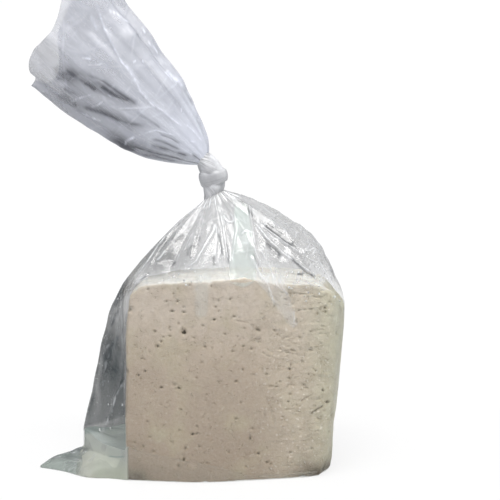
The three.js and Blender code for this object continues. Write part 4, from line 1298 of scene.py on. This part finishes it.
TAIL_SHADES = [
    ([(-102.6, 240), (-91.3, 231.3), (-81.1, 223.9)], 1.7, 0.75),
    ([(-89.4, 235.6), (-78.2, 231.3), (-67.6, 223.6), (-55.6, 216.1)], 1.3, 0.85),
    ([(-81, 229.5), (-72.2, 223.3), (-60.3, 218)], 1.8, 0.8),
    ([(-92.7, 215.8), (-80, 213), (-69.2, 208.3), (-51.1, 203.4)], 1.2, 0.7),
    ([(-59.6, 212.8), (-49.2, 206.8), (-42.6, 202.4)], 1.1, 0.65),
    ([(-74.7, 197.8), (-57, 189), (-37.7, 183.6), (-20.9, 180)], 1.3, 0.95),
    ([(-63.8, 194.2), (-49.3, 188.7), (-27.6, 183.9)], 0.8, 0.85),
    ([(-50.5, 193.9), (-37.2, 189.7), (-25.1, 185.7)], 0.8, 0.8),
    ([(-50, 197), (-40.8, 194.2), (-31.1, 189.7)], 0.9, 0.9),
    ([(-45, 199.6), (-37.8, 197.2), (-31.8, 193.3)], 0.7, 0.75),
    ([(-65, 279.7), (-53.4, 264.9), (-41.1, 247.1), (-29.8, 230.4), (-24.4, 219.7)], 0.9, 0.5),
    ([(-30.4, 227.3), (-26.2, 221.5), (-23.4, 215.8)], 1.2, 0.75),
    ([(-102.8, 227.3), (-97.4, 224.8), (-91, 221.5)], 1.4, 0.7),
    ([(-102.2, 275), (-93.3, 269.1), (-87.3, 260.2)], 3, 0.3),
    ([(-97.4, 217.9), (-87.8, 215.8), (-82.4, 213.7)], 1.2, 0.55),
    ([(-58.5, 263.2), (-54.9, 256), (-50.2, 248.9)], 1.8, 0.3),
    ([(-22.6, 213.1), (-19, 204.7), (-17.2, 196.3)], 0.9, 0.45),
    ([(-50, 189), (-38, 185.7), (-30, 183.8), (-22, 182.2), (-17, 180.5)], 0.8, 1.0),
    ([(-26, 188.5), (-20.5, 184.4), (-16, 180)], 0.7, 0.8),
]
# Broad hollows of the tail's front, painted dark as shade: points, half widths at their start and end, depth.
TAIL_HOLLOWS = [
    ([(-103, 237), (-89.6, 232), (-74.8, 225), (-57, 216.5)], 5.0, 1.5, 0.9),
    ([(-72, 198.5), (-58, 193.5), (-42, 189.5), (-25, 185.5)], 4.0, 2.0, 0.8),
    ([(-103, 222), (-88, 216.5), (-70, 210), (-52, 204)], 2.6, 1.6, 0.6),
]


def tail_points(length, angle, pleated=1.0):
    """Points of the tail's film: `length` along its axis and `angle` round it, from the upper edge."""
    upper = np.sqrt(TAIL_UPPER["start"] ** 2 + TAIL_UPPER["spread"] ** 2 * length)
    lower = TAIL_LOWER["start"] + TAIL_LOWER["spread"] * (1 - np.exp(-length / TAIL_LOWER["settle"]))
    thick = TAIL_THICK["start"] + TAIL_THICK["spread"] * (1 - np.exp(-length / TAIL_THICK["settle"]))
    open_ = 1 - np.exp(-length / TAIL["plug"])
    fold = (0.5 - 0.5 * np.cos(TAIL["pleats"] * angle)) * (0.75 + 0.25 * np.cos(3 * angle + 1))
    dent = 1 - TAIL["pleat_depth"] * open_ * fold * pleated
    reach = np.where(np.cos(angle) > 0, upper, lower)
    return (TAIL_START + length[..., None] * TAIL_ALONG
            + (reach * dent * np.cos(angle))[..., None] * TAIL_ACROSS
            + (thick * dent * np.sin(angle))[..., None] * DEPTHWAYS)


def make_tail(material):
    """A flared, pleated tube of film, open at its mouth."""
    share = np.linspace(0, 1, TAIL_COLUMNS + 1)
    angle = TAU * share + 0.22 * np.sin(2 * TAU * share)
    half = tail_points(np.array([TAIL["length"], TAIL["length"]], dtype=float), np.array([0, math.pi]))
    mouth_reach = np.linalg.norm(half[0] - half[1]) / 2
    mouth = (TAIL["length"] + TAIL["slant"] * mouth_reach * np.cos(angle)
             + TAIL["mouth_wave"] * (np.sin(2 * angle + 0.7) + 0.5 * np.sin(5 * angle)))
    rise = np.linspace(0, 1, TAIL_ROWS) ** 1.12
    length = mouth[None, :] * rise[:, None]
    turn = np.broadcast_to(angle, length.shape)
    rows = tail_points(length, turn, 0.75)
    normals = outward(rows)
    seen = front_view(rows)
    front = before(rows, normals, 0.06)

    near = np.exp(-length / 30)
    wide = pleats(turn, TAIL_FOLDS["wide"], 21, 0.2 * np.sin(length / 60)) * (1.5 - 0.9 * near)
    fine = pleats(turn, TAIL_FOLDS["fine"], 22, 0.1 * np.sin(length / 35)) * (0.16 + 0.36 * near)
    size = np.clip(length / 40, 0.3, 1)
    facets, facet_edges = crumple(rows, 24, 23)
    crinkles, crinkle_edges = crumple(rows, 9, 24)
    height = (wide + fine + 0.8 * facets + 0.35 * crinkles) * size
    # Painted highlights along the crumpled edges and creases; painted shade in the dark folds and hollows.
    light = 0.17 * np.maximum(facet_edges, 0.7 * crinkle_edges) * smooth(length, 12, 40)
    shade, hollow = np.zeros_like(length), np.zeros_like(length)
    broken = 0.4 + 0.6 * smooth(lumps(rows, 2.4, 28, 2), -0.25, 0.2)
    frayed = 0.55 + 0.45 * smooth(lumps(rows, (9, 9, 3.5), 27, 3), -0.25, 0.2)
    for line, width, ridge, glow in TAIL_CREASES:
        height = height + 0.25 * ridge * line_marks(seen, line, width * 1.4) * front
        light = np.maximum(light, line_marks(seen, line, width * 0.62) * front * glow * broken)
    for line, width, depth in TAIL_SHADES:
        sharp, soft = line_marks(seen, line, width * 0.8), line_marks(seen, line, width * 2.6)
        shade = np.maximum(shade, np.maximum(sharp, 0.45 * soft) * front * depth * frayed)
        height = height - 0.4 * depth * sharp * front
    for line, start, end, depth in TAIL_HOLLOWS:
        mark = band_marks(seen, line, start, end, 2.2) * front * depth
        hollow = np.maximum(hollow, mark * (0.4 + 0.6 * frayed))
    rows = rows + normals * (height * smooth(length, 0, 9))[..., None]
    room_reflection = painted_room_reflection(outward(rows), 29)

    # The lower half hangs in shade, more so in its middle; its lines are darkest near the knot.
    lower = smooth(-np.cos(turn), -0.1, 0.85)
    far = smooth(length, 50, 105)
    tone = 0.68 - 0.22 * lower * smooth(length, 14, 44) + 0.42 * near
    tone = tone - 0.06 * far * (1 - lower) - 0.30 * hollow
    tone = tone + room_reflection * (0.05 + 0.08 * lower) * smooth(length, 5, 25) + 0.10 * lumps(rows, 26, 25, 2)
    tone = np.clip(tone - (0.55 + 0.5 * near) * shade + 0.5 * light, 0, 1)
    haze = 0.34 + 0.25 * near + 0.08 * lower + 0.03 * np.abs(room_reflection) + 0.10 * hollow
    haze = haze + 0.05 * lumps(rows, 18, 26, 2) + 0.45 * light + (0.3 + 0.5 * near) * shade
    haze = np.clip(haze, 0.05, 0.97)
    gather = np.clip(0.22 + 0.4 * near + 0.12 * lower, 0, 1)
    none = np.zeros_like(haze)
    flow = np.stack([7 * np.cos(turn), 7 * np.sin(turn), length / 40], axis=-1)
    marks = {"haze": haze, "tone": tone, "gather": gather, "smoke": none, "green": none, "flow": flow}
    tail = wrapped_skin("tail_film", rows, marks)
    wall = tail.modifiers.new("film", "SOLIDIFY")
    wall.thickness = TAIL_FILM * MM
    wall.offset = -1
    bpy.ops.object.modifier_apply(modifier=wall.name)
    return finish_piece(tail, material, "bag_tail")


# ---- the knot ------------------------------------------------------------------------------------

# Bands of bunched film wrapped round the core: centre x and z, radius of the ring, half width, half
# thickness, tilt in degrees, how far one side lies above the other, and the seed of the pleats.
BANDS = [
    {"x": -11.9, "z": 174.0, "ring": 6.3, "wide": 4.6, "thick": 2.3, "tilt": -14, "climb": 2.0, "seed": 61},
    {"x": -12.7, "z": 169.6, "ring": 5.3, "wide": 2.7, "thick": 1.9, "tilt": 16, "climb": -1.5, "seed": 62},
]


# Painted light and shade of the knot's front: points, width, strength.
KNOT_LIGHTS = [
    ([(-14.2, 189), (-9, 183.6), (-5.6, 178.6), (-4.4, 174.4)], 2.6, 0.85),
    ([(-14.4, 168.6), (-11, 167.6), (-7, 168.2)], 1.4, 0.6),
    ([(-19, 187.5), (-17, 190.5)], 1.8, 0.6),
]
KNOT_SHADES = [
    ([(-20.2, 170.6), (-15.5, 169.8), (-10.4, 170.2)], 1.9, 0.4),
    ([(-5, 174), (-4, 171.6), (-4.8, 169)], 1.0, 0.8),
    ([(-20, 178.6), (-15, 176.2), (-10.6, 173.4)], 0.8, 0.3),
    ([(-18.6, 181.4), (-13.6, 178.6), (-8.6, 174.6)], 0.7, 0.25),
]


def knot_marks(rows):
    """How light and how dark each point of the knot's front is."""
    seen = front_view(rows)
    front = smooth(-outward(rows)[..., 1], -0.1, 0.3)
    light = 0.15 * smooth(lumps(rows, 6, 65, 2), 0, 0.6)
    shade = 0.15 * smooth(lumps(rows, 6, 66, 2), 0, 0.6)
    return {"tone": np.maximum(light, strongest(seen, KNOT_LIGHTS) * front),
            "shade": np.maximum(shade, strongest(seen, KNOT_SHADES) * front)}


def knot_core():
    count, steps = 168, 96
    foot = NECK_CENTRE - NECK_ALONG * 0.6
    bow = NECK_CENTRE + np.array([KNOT["bow"], 0, KNOT["bow_height"]])
    head = TAIL_START + TAIL_ALONG * 1.0
    share = np.linspace(0, 1, steps)[:, None]
    angle = np.linspace(0, TAU, count + 1)[None, :]
    centre = (1 - share) ** 2 * foot + 2 * share * (1 - share) * bow + share**2 * head
    full = np.sqrt(np.clip(np.sin(np.pi * share), 0, 1))
    tilt = lerp(math.radians(NECK["tilt"]), TAIL_TILT, share**2)
    across = np.stack([np.cos(tilt), 0 * tilt, np.sin(tilt)], axis=-1)
    head_x = lerp(TAIL_LOWER["start"], TAIL_UPPER["start"], smooth(np.cos(angle), -0.5, 0.5))
    end_x, end_y = lerp(NECK["radius"], head_x, share**2), lerp(NECK["radius"], TAIL_THICK["start"], share)
    swell = full * (KNOT["core"] + KNOT["swell"] * full - NECK["radius"])
    ends = 1 - smooth(full, 0.4, 0.95)
    fold = (0.14 + 0.28 * ends) * pleats(angle, 30, 63, 2.2 * share)
    fold = fold + (0.06 + 0.14 * ends) * pleats(angle, 70, 64, 2.6 * share)
    fold = fold + 0.35 * full * np.cos(5 * angle + 3 * share)
    wide = (end_x + swell + fold) * np.cos(angle)
    deep = (end_y + swell + fold) * np.sin(angle)
    rows = centre[:, None, :] + wide[..., None] * across + deep[..., None] * DEPTHWAYS
    poles = [np.broadcast_to(rows[end].mean(axis=0), rows[:1].shape) for end in (0, -1)]
    rows = np.concatenate([poles[0], rows, poles[1]])
    turned = angle + 2.4 * share
    flow = np.stack([2.5 * np.cos(turned), 2.5 * np.sin(turned), share * 0.9 + 0 * angle], axis=-1)
    flow = np.concatenate([flow[:1], flow, flow[-1:]])
    return wrapped_skin("knot_core", rows, {"flow": flow, **knot_marks(rows)})


def knot_band(band):
    """A closed loop of bunched film, flattened and pleated along its length."""
    around, across = 150, 60
    turn = np.linspace(0, TAU, around + 1)[:, None]
    side = np.linspace(0, TAU, across + 1)[None, :]
    axis_z, axis_x = section_axes(math.radians(-band["tilt"]))
    centre = np.array([band["x"], 0, band["z"]])
    drift = 0.3 * np.sin(2 * turn)
    grooves = 1 + 0.035 * pleats(side, 11, band["seed"]) + 0.015 * pleats(side, 23, band["seed"] + 5, drift)
    swell = 1 + 0.12 * np.sin(turn + band["seed"]) + 0.06 * np.sin(3 * turn)
    out = band["ring"] * (1 + 0.05 * np.cos(2 * turn)) + band["thick"] * grooves * swell * np.cos(side)
    up = band["wide"] * grooves * swell * np.sin(side) + band["climb"] * np.sin(turn) * 0.5
    rows = (centre + (out * np.cos(turn))[..., None] * axis_x
            + (out * np.sin(turn))[..., None] * DEPTHWAYS + up[..., None] * axis_z)
    flow = np.broadcast_arrays(1.6 * np.cos(side), 1.6 * np.sin(side), 0.5 * np.sin(turn))
    flow = np.stack(flow, axis=-1)
    return wrapped_skin("knot_band", rows, {"flow": flow, **knot_marks(rows)})


def make_knot(material):
    knot = join("knot", [knot_core()] + [knot_band(band) for band in BANDS])
    return finish_piece(knot, material, "bag_knot")


# ---- droplets ------------------------------------------------------------------------------------

# Where beads lie: least and most x, least and most z, and how many.
DROPLET_AREAS = [(-96, -62, 20, 112, 120), (30, 62, 100, 122, 60), (-40, -20, 112, 132, 18)]
DROPLET = {"least": 0.31, "more": 0.53, "flat": 0.5, "sunk": 0.3, "tall": 1.15}


def make_droplets(film, material):
    """Beads of water on both faces of the film's slack side, and on the dome's right and left."""
    rng = np.random.default_rng(71)
    places, normals = coordinates(film) / MM, vertex_normals(film)
    drops = []
    for low_x, high_x, low_z, high_z, count in DROPLET_AREAS:
        inside = (places[:, 0] > low_x) & (places[:, 0] < high_x)
        inside &= (places[:, 2] > low_z) & (places[:, 2] < high_z)
        inside &= np.abs(normals[:, 1]) > 0.2
        for index in rng.choice(np.flatnonzero(inside), count, replace=False):
            size = DROPLET["least"] + DROPLET["more"] * rng.random() ** 3
            drops.append((places[index], normals[index], size))
    deselect_all()
    bpy.ops.mesh.primitive_ico_sphere_add(subdivisions=2, radius=1)
    model = bpy.context.object
    shape = coordinates(model)
    copies = []
    for place, normal, size in drops:
        copy = model.copy()
        copy.data = model.data.copy()
        bpy.context.collection.objects.link(copy)
        flat = shape - DROPLET["flat"] * np.outer(shape @ normal, normal)
        bead = flat * size * np.array([1, 1, DROPLET["tall"]])
        move_vertices(copy, (place - normal * DROPLET["sunk"] * size + bead) * MM)
        copies.append(copy)
    bpy.data.objects.remove(model)
    drops = join("droplets", copies)
    bpy.ops.object.shade_smooth()
    return finish_piece(drops, material, "bag_body")


# ---- floor, lights and camera --------------------------------------------------------------------

WHITE = 1.02                   # floor and backdrop, as the camera sees them
ROOM = [(0.0, (0.08, 0.08, 0.09)), (0.45, (0.16, 0.16, 0.18)), (0.62, (0.30, 0.31, 0.33)),
        (1.0, (0.55, 0.56, 0.58))]   # the room's light from below to above
# Lamps: name, place, what they point at, size, power, colour.
LAMPS = [
    ("overhead", (0.02, -0.30, 0.85), (0.0, -0.02, 0.10), (0.60, 0.30), 5.4, (1.0, 0.985, 0.965)),
    ("front", (0.10, -1.5, 0.75), (0, 0, 0.1), (1.0, 0.8), 1.7, (1.0, 0.97, 0.93)),
    ("left_strip", (-0.75, -0.45, 0.55), (-0.03, 0, 0.15), (0.03, 0.8), 1.2, (0.95, 0.98, 1.0)),
    ("right_strip", (0.75, -0.25, 0.40), (0.03, 0, 0.12), (0.03, 0.8), 1.3, (0.97, 1.0, 0.98)),
    ("behind", (-0.25, 0.75, 0.65), (-0.05, 0, 0.2), (0.5, 0.2), 1.2, (0.95, 0.97, 1.0)),
]


def make_floor():
    deselect_all()
    bpy.ops.mesh.primitive_circle_add(vertices=128, radius=6, fill_type="NGON", location=(0, 0, -0.0003))
    floor = bpy.context.object
    floor.name = "floor"
    s = Shader(bpy.data.materials.new("pale_floor"))
    away = s.node("ShaderNodeVectorMath", {"operation": "LENGTH"}, {0: s.place()}, 1)
    matte = s.node("ShaderNodeBsdfDiffuse", None, {"Color": (0.8, 0.8, 0.8)})
    glow = s.node("ShaderNodeEmission", None, {"Color": (1.0, 1.0, 1.0), "Strength": WHITE})
    to_eye = s.node("ShaderNodeLightPath", output=0)
    glowing = s.rise(away, 0.05, 0.25, 0.75, 1.0) * to_eye
    lit = s.node("ShaderNodeMixShader", None, {0: glowing, 1: matte, 2: glow})
    floor.data.materials.append(s.output(lit))


def make_world():
    world = bpy.data.worlds.new("soft_studio")
    bpy.context.scene.world = world
    s = Shader(world)
    up = s.upwards(s.node("ShaderNodeTexCoord", output=0))
    room = s.node("ShaderNodeValToRGB", {"stops": ROOM}, {0: up * 0.5 + 0.5})
    to_eye = s.node("ShaderNodeLightPath", output=0)
    seen = s.colours(to_eye, room, (WHITE, WHITE, WHITE))
    backdrop = s.node("ShaderNodeBackground", None, {"Color": seen, "Strength": 1.0})
    s.output(backdrop, "ShaderNodeOutputWorld")


def make_light(name, place, target, size, power, colour):
    deselect_all()
    bpy.ops.object.light_add(type="AREA", location=place)
    light = bpy.context.object
    light.name = name
    light.data.shape = "RECTANGLE"
    light.data.size, light.data.size_y = size
    light.data.energy = power
    light.data.color = colour
    way = np.array(target) - np.array(place)
    flat = math.hypot(way[0], way[1])
    light.visible_camera = False
    light.rotation_euler = (math.atan2(flat, -way[2]), 0, math.atan2(-way[0], way[1]))


def make_camera():
    deselect_all()
    bpy.ops.object.camera_add(location=[part * MM for part in CAMERA["place"]],
                              rotation=(math.radians(90 - CAMERA["pitch"]), 0, 0))
    camera = bpy.context.object
    camera.data.lens, camera.data.sensor_width = CAMERA["lens"], CAMERA["sensor"]
    camera.data.clip_start = 0.01
    bpy.context.scene.camera = camera


# ---- the whole -----------------------------------------------------------------------------------

def build():
    scene = bpy.context.scene
    scene.view_settings.view_transform = "Standard"
    scene.cycles.transparent_max_bounces = 40
    make_camera()
    make_world()
    for lamp in LAMPS:
        make_light(*lamp)
    make_floor()
    make_tofu(tofu_material())
    film = make_bag_film(film_material("clear_film", CLEAR_FILM))
    make_whey(whey_material())
    make_droplets(film, droplet_material())
    make_knot(knot_material())
    make_tail(film_material("tail_film", TAIL_LOOKS))


build()
